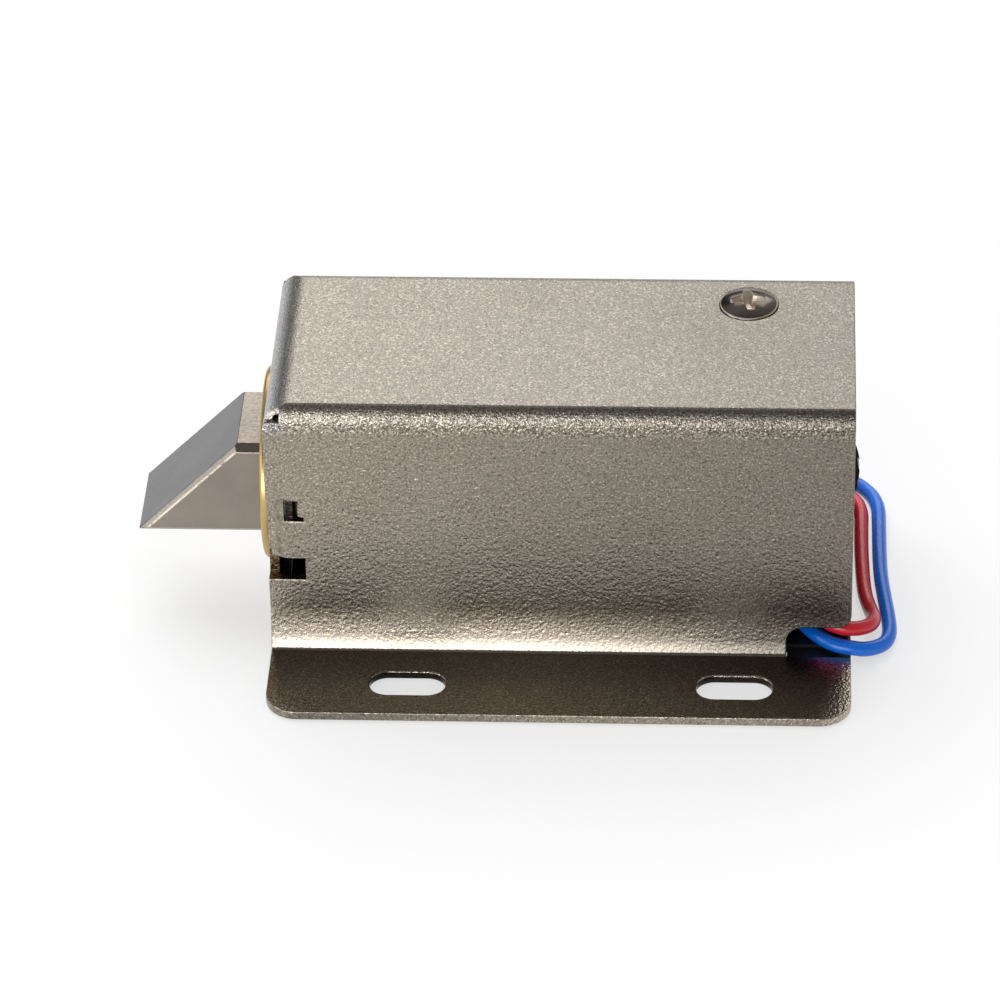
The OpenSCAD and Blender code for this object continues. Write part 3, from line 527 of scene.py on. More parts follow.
def plated_sheet():
    """Nickel plate over rolled sheet: orange peel, bright specks, small dark pits, and painted
    light and shade by face.
    """
    s = Shader("plated_sheet", Metallic=1.0, Roughness=0.3)
    x = s.axes[X]
    faces = (TOP_ZONE, FLANGE_ZONE, LOW_ZONE, FOOT_ZONE)
    top, flange, low, foot = (s.zone(*limits) for limits in faces)
    clouds = s.patches(*CLOUDS)
    tone = s.mix(clouds, PLATE_LIGHT, PLATE_DARK)
    # Painted reflection: the top takes its cooler copy of the colours
    tone = s.mix(top, tone, s.mix(clouds, TOP_REFLECTION_LIGHT, TOP_REFLECTION_DARK))
    # Painted reflection on the end bend
    tone = s.mix(s.zone(*END_BEND_ZONE), tone, END_BEND_REFLECTION)
    # Painted light and shade: each face's colour fades along X
    painted_fade = s.blend(low, s.ramp(x, *PLATE_X, *FRONT_PAINTED_FADE), s.ramp(x, *LOW_X, *LOW_PAINTED_FADE))
    painted_fade = s.blend(top, painted_fade, s.ramp(x, *PLATE_X, *TOP_PAINTED_FADE))
    painted_fade = s.blend(flange, painted_fade, s.ramp(x, *FLANGE_X, *FLANGE_PAINTED_FADE))
    spread = s.minus(s.times(s.patches(*SPECKS), SPECK_SHARE), s.times(s.patches(*PITS), PIT_SHARE))
    marked = s.minus(1.0, s.most(s.times(top, TOP_CLEAN), s.times(foot, FOOT_CLEAN)))
    strength = s.times(painted_fade, s.math("ADD", 1.0, s.times(spread, marked)))
    strength, bare = plate_marks(s, strength)
    s.set("Base Color", s.scaled(s.mix(bare, tone, RAW_SHEET), strength))
    fine = s.noise(*FINE_PEEL)
    gloss = s.blend(flange, s.ramp(fine, *GRAIN_LEVELS, *PLATE_GLOSS), FLANGE_GLOSS)
    gloss = s.blend(foot, gloss, FOOT_GLOSS)
    s.set("Roughness", s.blend(s.zone(*TONGUE_BEND_ZONE), gloss, TONGUE_BEND_GLOSS))
    peel = s.blend(top, s.noise(*COARSE_PEEL), fine)
    calms = ((top, TOP_CALM), (flange, FLANGE_CALM), (foot, FOOT_CALM), (low, LOW_CALM))
    calm = s.most(*(s.times(face, share) for face, share in calms))
    s.set_bump(s.times(peel, s.minus(1.0, calm)), PEEL_DEPTH, 1.0)
    return s.material


bush_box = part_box("guide_bush")
AXIS_AT = ((bush_box[0].y + bush_box[1].y) / 2, (bush_box[0].z + bush_box[1].z) / 2)
TURNED_CLOUDS = (240, 3, 0.6)
TURNED_RINGS = (1.0, 3.0, 0.7)
TURNED_DEPTH = 0.00003
# How softly the painted shade inside the case sets in
SHADE_OVER = 0.0001
SATIN_SPREAD = (-0.06, 0.08)


def turned_metal(name, colour, roughness, pitch, shade_from=None):
    """Metal turned about the bush's axis: fine rings and a light cloudy tone, with painted shade
    past a place along X, inside the case.
    """
    s = Shader(name, Metallic=1.0, Base_Color=(*colour, 1))
    shifted = s.moved(Location=(0, -AXIS_AT[0], -AXIS_AT[1]))
    x, y, z = s.node("ShaderNodeSeparateXYZ", {0: shifted}).outputs
    flat = s.node("ShaderNodeCombineXYZ", {Y: y, Z: z}).outputs[0]
    radius = s.node("ShaderNodeVectorMath", {0: flat}, operation="LENGTH").outputs["Value"]
    along = s.times(s.math("ADD", radius, x), 1 / pitch)
    line = s.node("ShaderNodeCombineXYZ", {X: along}).outputs[0]
    rings = s.noise(*TURNED_RINGS, line)
    tone = s.clouded(colour, 0.78, TURNED_CLOUDS, WIDE_CLOUD_LEVELS)
    # Painted shade where the metal lies inside the case
    if shade_from is not None:
        inside_shade = s.ramp(x, shade_from, shade_from + SHADE_OVER)
        tone = s.scaled(tone, s.blend(inside_shade, 1.0, INSIDE_PAINTED_SHADE))
    s.set("Base Color", tone)
    s.set_roughness(rings, *(roughness + spread for spread in SATIN_SPREAD))
    s.set_bump(rings, TURNED_DEPTH, 0.5)
    return s.material


SATIN_CLOUDS = (160, 3, 0.55)
BRUSHED_DEPTH = 0.00002


def brushed_metal(name, colour, roughness, stretch, scale):
    """Satin metal with fine draw lines."""
    s = Shader(name, Metallic=1.0, Base_Color=(*colour, 1))
    lines = s.noise(scale, 3, 0.6, s.moved(Scale=stretch))
    s.set("Base Color", s.clouded(colour, 0.82, SATIN_CLOUDS))
    s.set_roughness(lines, *(roughness + spread for spread in SATIN_SPREAD))
    s.set_bump(lines, BRUSHED_DEPTH, 0.6)
    return s.material


# The bolt: its colours, and where it carries a painted reflection and painted highlights, as depths
# behind its ramp and heights
BOLT_LIGHT = (0.31, 0.275, 0.23, 1)
BOLT_DARK = (0.255, 0.225, 0.19, 1)
# A cooler tone on the ramp is a painted reflection
BOLT_RAMP_REFLECTION = (0.22, 0.23, 0.265, 1)
BOLT_TIP_H = 0.3 * MM
BOLT_TIP_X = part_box("latch_bolt")[0].x
BOLT_RAMP_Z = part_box("latch_bolt")[0].z + BOLT_TIP_H
BOLT_RAMP_TURN = math.radians(45)
BOLT_RAMP_DEPTH = (0.00012, 0.00004)
BOLT_RAMP_ZONE = ((Z, 0.01808, 0.01804),)
BOLT_TOP_ZONE = ((Z, 0.01803, 0.01808),)
# The bolt's top is painted lighter, a painted highlight
BOLT_TOP_HIGHLIGHT = 1.12
BOLT_TOP_GRAIN = ((3600, 2, 0.6), 0.35, 0.7, -0.16, 0.3)
# Painted highlights along the bolt's lower edges and a crest line
BOLT_HIGHLIGHT_DEPTH = (0.00034, 0.00047, 0.00005)
BOLT_HIGHLIGHT_ZONE = ((Z, 0.0176, 0.0172),)
BOLT_HIGHLIGHT_BREAKS = ((1500, 2, 0.6), 0.3, 0.42)
BOLT_EDGE_HIGHLIGHT = 2.1
BOLT_CREST_DEPTH = (0.0004, 0.0006)
BOLT_CREST_ZONE = ((Z, 0.01733, 0.01745, 0.00004),)
BOLT_CREST_HIGHLIGHT = 0.45
BOLT_LINES = (900, 3, 0.6)
BOLT_STRETCH = (1, 9, 9)
BOLT_GLOSS = (0.26, 0.40)
BOLT_DEPTH = 0.00003


def plated_bolt():
    """The bolt's satin plate: draw lines on the ramp and grain on top, with a painted reflection on
    the ramp, a painted highlight on top and painted highlights along its lower edges and crest.
    """
    s = Shader("bolt_plate", Metallic=1.0)
    lines = s.noise(*BOLT_LINES, s.moved(Scale=BOLT_STRETCH, Rotation=(0, BOLT_RAMP_TURN, 0)))
    tone = s.mix(s.patches(SATIN_CLOUDS, *CLOUD_LEVELS), BOLT_LIGHT, BOLT_DARK)
    # How far a place lies behind the ramp's plane
    climb = s.minus(s.minus(s.axes[X], BOLT_TIP_X), s.minus(s.axes[Z], BOLT_RAMP_Z))
    depth = s.times(climb, math.sin(BOLT_RAMP_TURN))
    on_ramp = s.times(s.ramp(depth, *BOLT_RAMP_DEPTH), s.zone(*BOLT_RAMP_ZONE))
    on_top = s.zone(*BOLT_TOP_ZONE)
    # Painted reflection: the ramp leans halfway to a cooler tone
    tone = s.mix(s.times(on_ramp, 0.5), tone, BOLT_RAMP_REFLECTION)
    grained = s.times(on_top, s.patches(*BOLT_TOP_GRAIN))
    # Painted highlight: the top is lighter, with grain
    strength = s.math("ADD", s.blend(on_top, 1.0, BOLT_TOP_HIGHLIGHT), grained)
    # Painted highlights along the edges
    edge_highlight = s.times(s.between(depth, *BOLT_HIGHLIGHT_DEPTH), s.zone(*BOLT_HIGHLIGHT_ZONE))
    edge_highlight = s.times(edge_highlight, s.patches(*BOLT_HIGHLIGHT_BREAKS))
    crest = s.times(s.zone(*BOLT_CREST_ZONE), s.ramp(depth, *BOLT_CREST_DEPTH))
    edge_highlight = s.most(edge_highlight, s.times(crest, BOLT_CREST_HIGHLIGHT))
    strength = s.shaded(strength, edge_highlight, BOLT_EDGE_HIGHLIGHT)
    s.set("Base Color", s.scaled(tone, strength))
    s.set_roughness(lines, *BOLT_GLOSS)
    s.set_bump(lines, BOLT_DEPTH, 0.6)
    return s.material


PLASTIC_LEVELS = (0.2, 0.8)
PLASTIC_SPREAD = (-0.05, 0.07)


def plastic(name, colour, roughness, grain=2500, depth=0.00002, coat=0.0):
    """Moulded or extruded plastic with a light grain."""
    s = Shader(name, Base_Color=(*colour, 1), Coat_Weight=coat)
    peel = s.noise(grain, 3, 0.5)
    s.set("Base Color", s.clouded(colour, 0.8, (grain / 12, 2, 0.5), PLASTIC_LEVELS))
    s.set_roughness(peel, *(roughness + spread for spread in PLASTIC_SPREAD))
    s.set_bump(peel, depth, 0.5)
    return s.material


WIRE_CLOUDS = (300, 3, 0.6)


def wound_wire(name, colour, pitch, roughness):
    """Fine wire wound about X: rounded ridges along the axis."""
    s = Shader(name, Base_Color=(*colour, 1), Metallic=0.55, Coat_Weight=0.5, Coat_Roughness=0.15)
    ridge = s.math("ABSOLUTE", s.math("SINE", s.times(s.axes[X], math.pi / pitch)))
    s.set("Base Color", s.clouded(colour, 0.6, WIRE_CLOUDS, WIDE_CLOUD_LEVELS))
    s.set_roughness(s.noise(*WIRE_CLOUDS), roughness, roughness + 0.1)
    s.set_bump(ridge, pitch / 3, 1.0)
    return s.material


SCREW_CLOUDS = (500, 3, 0.6)
HIGHLIGHT_LEVELS = (0.4, 0.6)
# Near-white tones on the recess faces and the rim are a painted highlight
SCREW_HIGHLIGHT_LIGHT = (0.97, 0.86, 0.74, 1)
SCREW_HIGHLIGHT_DARK = (0.62, 0.51, 0.40, 1)
SCREW_HIGHLIGHT_ROUGHNESS = 0.45
SCREW_PEEL = (2500, 2, 0.5)
SCREW_DEPTH = 0.000012


def screw_with_painted_highlight(name, light, dark, metallic, roughness):
    """Dark glossy plate, with a painted highlight on the faces of the recess and on the rim."""
    s = Shader(name, Metallic=metallic, Specular_IOR_Level=0.5 * metallic)
    highlight_share = s.node("ShaderNodeAttribute", attribute_name="recess").outputs["Fac"]
    head = s.mix(s.patches(SCREW_CLOUDS, *CLOUD_LEVELS), (*light, 1), (*dark, 1))
    highlight_tone = s.mix(s.patches(SCREW_CLOUDS, *HIGHLIGHT_LEVELS), SCREW_HIGHLIGHT_LIGHT, SCREW_HIGHLIGHT_DARK)
    s.set("Base Color", s.mix(highlight_share, head, highlight_tone))
    s.set("Roughness", s.blend(highlight_share, roughness, SCREW_HIGHLIGHT_ROUGHNESS))
    s.set_bump(s.noise(*SCREW_PEEL), SCREW_DEPTH, 0.6)
    return s.material


sheet = plated_sheet()
# The base cover is coloured near black: painted shade for the dark seen through the notches and the
# relief
shade_black_sheet = plastic("painted_shade_sheet", (0.012, 0.012, 0.012), 0.45)
screw_metal = screw_with_painted_highlight(
    "screw_plate", (0.150, 0.128, 0.108), (0.115, 0.098, 0.083), metallic=1.0, roughness=0.19
)
# The end screw is coloured near black, a painted shade for the dark it reflects
end_screw_shade_black = screw_with_painted_highlight(
    "end_screw_painted_shade", (0.020, 0.018, 0.016), (0.014, 0.012, 0.011), metallic=0.0, roughness=0.5
)
brass = turned_metal("turned_brass", (0.62, 0.44, 0.19), 0.30, pitch=0.00016, shade_from=-0.0271)
bolt_metal = plated_bolt()
turned_steel = turned_metal("turned_steel", (0.45, 0.45, 0.44), 0.26, pitch=0.00015)
spring_steel = brushed_metal("spring_steel", (0.40, 0.39, 0.37), 0.25, (1, 1, 1), scale=2200)
yoke_steel = brushed_metal("yoke_plate", (0.46, 0.44, 0.40), 0.35, (1, 14, 14), scale=500)
bobbin_nylon = plastic("bobbin_nylon", (0.62, 0.58, 0.46), 0.42)
copper = wound_wire("copper_winding", (0.52, 0.17, 0.06), pitch=0.00018, roughness=0.3)
tape = plastic("film_tape", (0.62, 0.44, 0.05), 0.3, grain=900, depth=0.00003, coat=0.4)
rubber = plastic("pad_rubber", (0.015, 0.015, 0.015), 0.8)
sleeve_black = plastic("shrink_sleeve", (0.02, 0.02, 0.02), 0.5)
tie_black = plastic("tie_nylon", (0.018, 0.018, 0.018), 0.45)
red_jacket = plastic("red_jacket", (0.62, 0.012, 0.024), 0.27, grain=900, depth=0.000004, coat=0.08)
blue_jacket = plastic("blue_jacket", (0.0, 0.15, 0.72), 0.27, grain=900, depth=0.000004, coat=0.05)
tinned = brushed_metal("tinned_strands", (0.62, 0.62, 0.63), 0.25, (1, 1, 1), scale=3000)

FINISHES = {
    "case_shell": sheet,
    "base_cover": shade_black_sheet,
    "guide_bush": brass,
    "latch_bolt": bolt_metal,
    "bolt_pin": turned_steel,
    "stop_collar": turned_steel,
    "plunger": turned_steel,
    "spring_washer": turned_steel,
    "yoke": yoke_steel,
    "guide_sleeve": brass,
    "bobbin": bobbin_nylon,
    "coil_winding": copper,
    "coil_tape": tape,
    "fixed_core": turned_steel,
    "core_pad": rubber,
    "splice_sleeve_red": sleeve_black,
    "splice_sleeve_blue": sleeve_black,
    "coil_tie_red": tie_black,
    "coil_tie_blue": tie_black,
}
for name, finish in FINISHES.items():
    slots = nodes[name].data.materials
    for index in range(len(slots)):
        slots[index] = finish
    if not len(slots):
        slots.append(finish)

for lead, jacket in ((red_lead, red_jacket), (blue_lead, blue_jacket)):
    lead.data.materials.append(jacket)


# Shape of the case: its outer faces, in millimetres, and how near a corner has to lie to one
FRONT_Y = 5.75
REAR_Y = 29.75
END_X = -27.9
TOP_Z = 27.0
HALF_SHEET = 0.45
NEAR = 0.01
NEARER = 0.002
CUT_DIST = 1e-6


def cut(edited, faces, place, normal):
    """Cuts the faces along a plane through a place in millimetres."""
    edges = {e for f in faces for e in f.edges}
    verts = {v for f in faces for v in f.verts}
    bmesh.ops.bisect_plane(
        edited,
        geom=[*faces, *edges, *verts],
        dist=CUT_DIST,
        plane_co=tuple(v * MM for v in place),
        plane_no=normal,
    )


# The foot of the front: the press leaves it leaning out over its last few millimetres
FOOT_TOP = 0.9
FOOT_BEND_R = 1.0
FLARE_R = 12.0
FLARE_TURN = math.radians(21)
FLARE_POINTS = 400
FLARE_END_R = 0.3
FLARE_CUTS = 16


def flare_profile():
    """Points (y, z) of the leaning foot, from the straight wall down to the flange."""
    low = FOOT_TOP + FLARE_END_R * (1 - math.sin(FLARE_TURN))
    top = low + FLARE_R * math.sin(FLARE_TURN)
    points = []
    for i in range(FLARE_POINTS + 1):
        turn = FLARE_TURN * i / FLARE_POINTS
        points.append((FRONT_Y - FLARE_R * (1 - math.cos(turn)), top - FLARE_R * math.sin(turn)))
    centre = points[-1][0] - FLARE_END_R * math.cos(FLARE_TURN)
    for i in range(1, FLARE_POINTS + 1):
        turn = FLARE_TURN + (math.pi / 2 - FLARE_TURN) * i / FLARE_POINTS
        y = centre + FLARE_END_R * math.cos(turn)
        points.append((y, FOOT_TOP + FLARE_END_R * (1 - math.sin(turn))))
    return points, top


def on_front(face):
    """Whether a face lies on the flat front of the case."""
    return face.normal.y < -0.99 and abs(face.calc_center_median().y / MM - FRONT_Y) < NEAR


def flare_foot(edited):
    """Leans the foot out: the CAD's straight wall and its bend go over to the profile."""
    profile, top = flare_profile()
    start = FOOT_TOP + FOOT_BEND_R
    bend_y = FRONT_Y - FOOT_BEND_R
    for i in range(FLARE_CUTS + 1):
        z = start + (top - start) * i / FLARE_CUTS
        cut(edited, [f for f in edited.faces if on_front(f)], (0, 0, z), ALONG_Z)
    lengths = [0.0]
    for a, b in zip(profile, profile[1:]):
        lengths.append(lengths[-1] + math.dist(a, b))
    at_start = next(k for k, p in enumerate(profile) if p[1] <= start)
    for v in edited.verts:
        y, z = v.co.y / MM, v.co.z / MM
        off_bend = abs(math.hypot(y - bend_y, z - start) - FOOT_BEND_R)
        if abs(y - FRONT_Y) < NEARER and start - NEARER < z < top:
            turn = math.asin(min(1, (top - z) / FLARE_R))
            v.co.y = (FRONT_Y - FLARE_R * (1 - math.cos(turn))) * MM
        elif z < start and y > bend_y - NEAR and off_bend < NEAR:
            share = math.atan2(start - z, y - bend_y) / (math.pi / 2)
            want = lengths[at_start] + (lengths[-1] - lengths[at_start]) * share
            k = min(range(len(lengths)), key=lambda n: abs(lengths[n] - want))
            v.co.y, v.co.z = profile[k][0] * MM, profile[k][1] * MM


# Bends round the top, softer than the CAD's: their reach in from the wall and down from the top
FRONT_BEND = (1.4, 2.8)
REAR_BEND = (2.0, 2.0)
END_BEND = (2.5, 2.5)
BENDS = ((Y, FRONT_Y, FRONT_BEND, 1), (Y, REAR_Y, REAR_BEND, -1), (X, END_X, END_BEND, 1))
BEND_CUTS = 12
BENDS_LOW = 24.4
# Where the end bend meets the front and rear bends: the reach from the end wall, and from theirs
FRONT_MITRE = ((1.55, 0.893), (2.5, 1.4))
REAR_MITRE = ((1.55, 1.165), (2.5, 2.0))


def outer_and_high(face):
    """Whether a face lies on the outside of the case, up where the bends are."""
    place = face.calc_center_median() / MM
    outer = (
        place.z > TOP_Z - HALF_SHEET
        or place.y < FRONT_Y + HALF_SHEET
        or place.y > REAR_Y - HALF_SHEET
        or place.x < END_X + HALF_SHEET
    )
    high = max(v.co.z for v in face.verts) / MM > BENDS_LOW
    facing_along = abs(face.normal.x) > 0.999
    return high and outer and (not facing_along or place.x < END_X + NEAR)


def soften_bends(edited):
    """Rounds the bends of the top as far as the photograph shows."""

    def cut_outside(place, normal):
        cut(edited, [f for f in edited.faces if outer_and_high(f)], place, normal)

    for axis, wall, (inward, down), sign in BENDS:
        for i in range(BEND_CUTS + 1):
            turn = math.pi / 2 * i / BEND_CUTS
            centre = [0, 0, TOP_Z - down]
            centre[axis] = wall + sign * inward
            normal = [0, 0, inward * math.sin(turn)]
            normal[axis] = sign * down * math.cos(turn)
            cut_outside(centre, Vector(normal).normalized())
    for wall, ((u0, w0), (u1, w1)), sign in ((FRONT_Y, FRONT_MITRE, 1), (REAR_Y, REAR_MITRE, -1)):
        normal = Vector((sign * (w1 - w0), u0 - u1, 0)).normalized()
        cut_outside((END_X + u1, wall + sign * w1, TOP_Z), normal)
    for axis, wall, (inward, down), sign in BENDS:
        middle = wall + sign * inward
        for v in edited.verts:
            across = (middle - v.co[axis] / MM) * sign / inward
            up = (v.co.z / MM - TOP_Z + down) / down
            far = math.hypot(across, up)
            if across > 0 and up > 0 and far > 1:
                v.co[axis] = (middle - sign * inward * across / far) * MM
                v.co.z = (TOP_Z - down + down * up / far) * MM


def shape_case(edited):
    flare_foot(edited)
    soften_bends(edited)


# Where the press marks and the corner reliefs of the case lie: their edges stay sharp
MARKS_X = -24.1
MARKS_Y = 8.2
MARKS_Z = (7.9, 17.6)
RELIEF_X = -25.2


def edge_share(edge):
    """How much of the full rounding an edge of the case gets."""
    for vert in edge.verts:
        x, y, z = (v / MM for v in vert.co)
        marks = x < MARKS_X and y < MARKS_Y and MARKS_Z[0] < z < MARKS_Z[1]
        if marks or x < RELIEF_X and z > BENDS_LOW:
            return 0.0
    return 1.0


# Pieces with their edges broken, from copies of the CAD meshes
MERGE_DIST = 0.000002
FLAT_ANGLE = math.radians(0.5)
BEVEL_SEGMENTS = 2


def broken_edges(node, width, angle=50, change=None, share=None):
    """A copy of a CAD node whose sharp edges are rounded. It stands for the node."""
    source = nodes[node]
    mesh = source.data.copy()
    edited = bmesh.new()
    edited.from_mesh(mesh)
    bmesh.ops.remove_doubles(edited, verts=edited.verts, dist=MERGE_DIST)
    bmesh.ops.dissolve_limit(
        edited, angle_limit=FLAT_ANGLE, verts=edited.verts, edges=edited.edges
    )
    if change:
        change(edited)
    weight = edited.edges.layers.float.new("bevel_weight_edge")
    for edge in edited.edges:
        if len(edge.link_faces) == 2 and edge.calc_face_angle(0) > math.radians(angle):
            edge[weight] = share(edge) if share else 1.0
            edge.smooth = edge[weight] > 0
    edited.to_mesh(mesh)
    edited.free()
    smooth_faces(mesh)
    made = add_object(node + "_body", mesh, source["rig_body"])
    bevel = made.modifiers.new("edges", "BEVEL")
    bevel.limit_method = "WEIGHT"
    bevel.width = width
    bevel.segments = BEVEL_SEGMENTS
    bevel.use_clamp_overlap = False
    bevel.loop_slide = False
    flat = made.modifiers.new("flat_faces", "WEIGHTED_NORMAL")
    flat.mode = "FACE_AREA"
    flat.weight = 100
    flat.keep_sharp = True
    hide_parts(node)
    return made


case = broken_edges("case_shell", width=0.00013, change=shape_case, share=edge_share)
bolt = broken_edges("latch_bolt", width=0.00006, angle=30)
bush = broken_edges("guide_bush", width=0.00008, angle=40)


# Screws, in millimetres: raised countersunk heads, their cross recess pressed with a taper
HEAD_R = 2.75
HEAD_RAISE = 0.7
HEAD_SIDES = 120
BALL_R = (HEAD_R**2 + HEAD_RAISE**2) / (2 * HEAD_RAISE)
SHAFT_R = 1.5
SHAFT_CHAMFER = 0.3
CROSS_REACH = 1.66
CROSS_ROOT = 0.68
CROSS_TAPER = 0.2
CROSS_CORE = 0.86
CROSS_DEPTH = 1.15
CROSS_DIP = 0.12
CROSS_LIP = 0.05
# How the tip of an arm rounds, and how softly its side goes over to the tip
TIP_ROUND = 0.35
TIP_POWER = 8
TIP_SOFT = 0.2
# The recess from its floor up: shares of the edge's distance and of the depth
CROSS_LOW_STEPS = ((0.45, 0), (0.66, 0.42))
# The recess near its edge: share of the edge's distance, drop below the dome, share of painted
# highlight
CROSS_HIGH_STEPS = ((0.9, 0.16, 1), (0.97, 0.045, 0.7))
DOME_STEPS = (0.12, 0.3, 0.5, 0.7, 0.88)
# The head's rim: distance from the axis, height, and share of painted highlight
RIM_STEPS = (
    (2.56, 0.09, 0),
    (2.59, 0.078, 1),
    (2.655, 0.03, 1),
    (2.69, -0.05, 0),
    (2.67, -0.09, 0),
)


def cross_edge(angle):
    """Distance of the recess's edge from the screw's axis, in one direction."""
    turn = abs((angle + math.pi / 4) % (math.pi / 2) - math.pi / 4)
    side = CROSS_ROOT / (math.sin(turn) + CROSS_TAPER * math.cos(turn))
    if side <= CROSS_CORE:
        return CROSS_CORE
    tip = CROSS_REACH * (1 - TIP_ROUND * turn * turn)
    return (min(side, tip) ** -TIP_POWER + tip**-TIP_POWER * TIP_SOFT) ** (-1 / TIP_POWER)


def dome(r):
    return HEAD_RAISE - BALL_R + math.sqrt(BALL_R**2 - r * r)


def screw_profile(angle, length):
    """Points (r, z, share of painted highlight) from the recess's floor out and down to the tip."""
    edge = cross_edge(angle)
    floor = HEAD_RAISE - CROSS_DEPTH
    start = edge + CROSS_LIP
    points = [(edge * out, floor + CROSS_DEPTH * up, 1) for out, up in CROSS_LOW_STEPS]
    points += [(edge * out, dome(edge) - drop, highlight_share) for out, drop, highlight_share in CROSS_HIGH_STEPS]
    points.append((start, dome(start), 0))
    for share in DOME_STEPS:
        r = start + (RIM_STEPS[0][0] - start) * share
        points.append((r, dome(r), 0))
    points += RIM_STEPS
    points.append((SHAFT_R, SHAFT_R - HEAD_R, 0))
    points.append((SHAFT_R, SHAFT_CHAMFER - length, 0))
    points.append((SHAFT_R - SHAFT_CHAMFER, -length, 0))
    return points


def add_screw(name, node, centre, outward, across, turn, length, finish):
    """A screw whose head's plane is at its centre, its recess turned by an angle."""
    third = outward.cross(across)
    points = []
    share = []
    for k in range(HEAD_SIDES):
        angle = math.tau * k / HEAD_SIDES
        way = across * math.cos(angle + turn) + third * math.sin(angle + turn)
        for r, z, highlight_share in screw_profile(angle, length):
            points.append((centre + way * r + outward * z) * MM)
            share.append(highlight_share)
    rings = len(points) // HEAD_SIDES
    low = HEAD_RAISE - CROSS_DEPTH - CROSS_DIP
    points += [(centre + outward * low) * MM, (centre - outward * length) * MM]
    share += [1, 0]
    hub, tip = len(points) - 2, len(points) - 1
    faces = []
    for k in range(HEAD_SIDES):
        a, b = k * rings, (k + 1) % HEAD_SIDES * rings
        faces += [(a + i, a + i + 1, b + i + 1, b + i) for i in range(rings - 1)]
        faces += [(hub, a, b), (tip, b + rings - 1, a + rings - 1)]
    made = mesh_object(name, points, faces, "case")
    highlight_share = made.data.attributes.new("recess", "FLOAT", "POINT")
    highlight_share.data.foreach_set("value", share)
    made.data.set_sharp_from_angle(angle=math.radians(40))
    made.data.materials.append(finish)
    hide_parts(node)


def screw_length(node, axis, head):
    return abs(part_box(node)[0][axis] / MM - head)


CASE_SCREW_AT = Vector((15.9, 24.25, 27))
CORE_SCREW_AT = Vector((25.7, 17.75, 13.2))
add_screw(
    "case_screw_turned",
    "case_screw",
    CASE_SCREW_AT,
    outward=ALONG_Z,
    across=ALONG_X,
    turn=math.radians(8),
    length=screw_length("case_screw", Z, CASE_SCREW_AT.z),
    finish=screw_metal,
)
add_screw(
    "core_screw_turned",
    "core_screw",
    CORE_SCREW_AT,
    outward=ALONG_X,
    across=ALONG_Y,
    turn=math.radians(30),
    length=screw_length("core_screw", X, CORE_SCREW_AT.x),
    finish=end_screw_shade_black,
)

# Return spring, in millimetres, drawn together where the bolt is pulled in
AXIS_Y = 17.75
AXIS_Z = 13.2
SPRING_START = -23.87
SPRING_END = -9.73
SPRING_TURNS = 6
SPRING_POINTS = 48
SPRING_SIDES = 12
SPRING_R = 5.6
SPRING_WIRE = 0.6
SPRING_FLAT = 1
SPRING_CLOSED = 0.61


def spring_rise(turn):
    """How far the wire has climbed after some turns: the first and last turn lie nearly closed."""
    length = SPRING_END - SPRING_START - SPRING_WIRE
    climb = length - 2 * SPRING_FLAT * SPRING_CLOSED
    if turn < SPRING_FLAT:
        return turn * SPRING_CLOSED
    if turn > SPRING_TURNS - SPRING_FLAT:
        return length - (SPRING_TURNS - turn) * SPRING_CLOSED
    return SPRING_CLOSED + climb * (turn - SPRING_FLAT) / (SPRING_TURNS - 2 * SPRING_FLAT)


def spring_line():
    line = []
    for i in range(SPRING_POINTS * SPRING_TURNS + 1):
        turn = i / SPRING_POINTS
        x = SPRING_START + SPRING_WIRE / 2 + spring_rise(turn)
        y = AXIS_Y + SPRING_R * math.cos(math.tau * turn)
        z = AXIS_Z + SPRING_R * math.sin(math.tau * turn)
        line.append(Vector((x, y, z)))
    return line


spring = tube(
    "return_spring_wire", spring_line(), SPRING_WIRE / 2, SPRING_SIDES, "case"
)
spring.data.materials.append(spring_steel)
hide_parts("return_spring")
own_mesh(spring)

# Bare ends of the leads, in millimetres: tinned strands twisted round one of them
STRANDS_ROUND = 6
STRAND_R = 0.13
STRAND_RING_R = 0.265
STRAND_STEPS = 40
STRAND_SIDES = 8
STRAND_SHORT = 0.985
TIP_L = 5.0
TIP_TWISTS = 1.6


def joined(name, parts, body):
    """One object from several that ride the same body."""
    edited = bmesh.new()
    for part in parts:
        edited.from_mesh(part.data)
        bpy.data.objects.remove(part)
    mesh = bpy.data.meshes.new(name)
    edited.to_mesh(mesh)
    edited.free()
    smooth_faces(mesh)
    return add_object(name, mesh, body)


def add_strands(name, start, heading, node):
    """A lead's tip. Every other strand ends a little short."""
    side = heading.cross(ALONG_Z).normalized()
    up = side.cross(heading)
    parts = []
    for k in range(STRANDS_ROUND + 1):
        ring = STRAND_RING_R if k < STRANDS_ROUND else 0
        reach = TIP_L * (STRAND_SHORT if k % 2 else 1)
        line = []
        for i in range(STRAND_STEPS + 1):
            share = i / STRAND_STEPS
            angle = math.tau * (k / STRANDS_ROUND + TIP_TWISTS * share)
            across = side * (math.cos(angle) * ring) + up * (math.sin(angle) * ring)
            line.append(start + heading * (reach * share) + across)
        parts.append(tube(name + str(k), line, STRAND_R, STRAND_SIDES, "case"))
    made = joined(name, parts, "case")
    made.data.materials.append(tinned)
    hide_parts(node)
    return made


red_strands = add_strands("lead_red_strands", red_line[-1], red_heading, "lead_red_tip")
blue_strands = add_strands("lead_blue_strands", blue_line[-1], blue_heading, "lead_blue_tip")


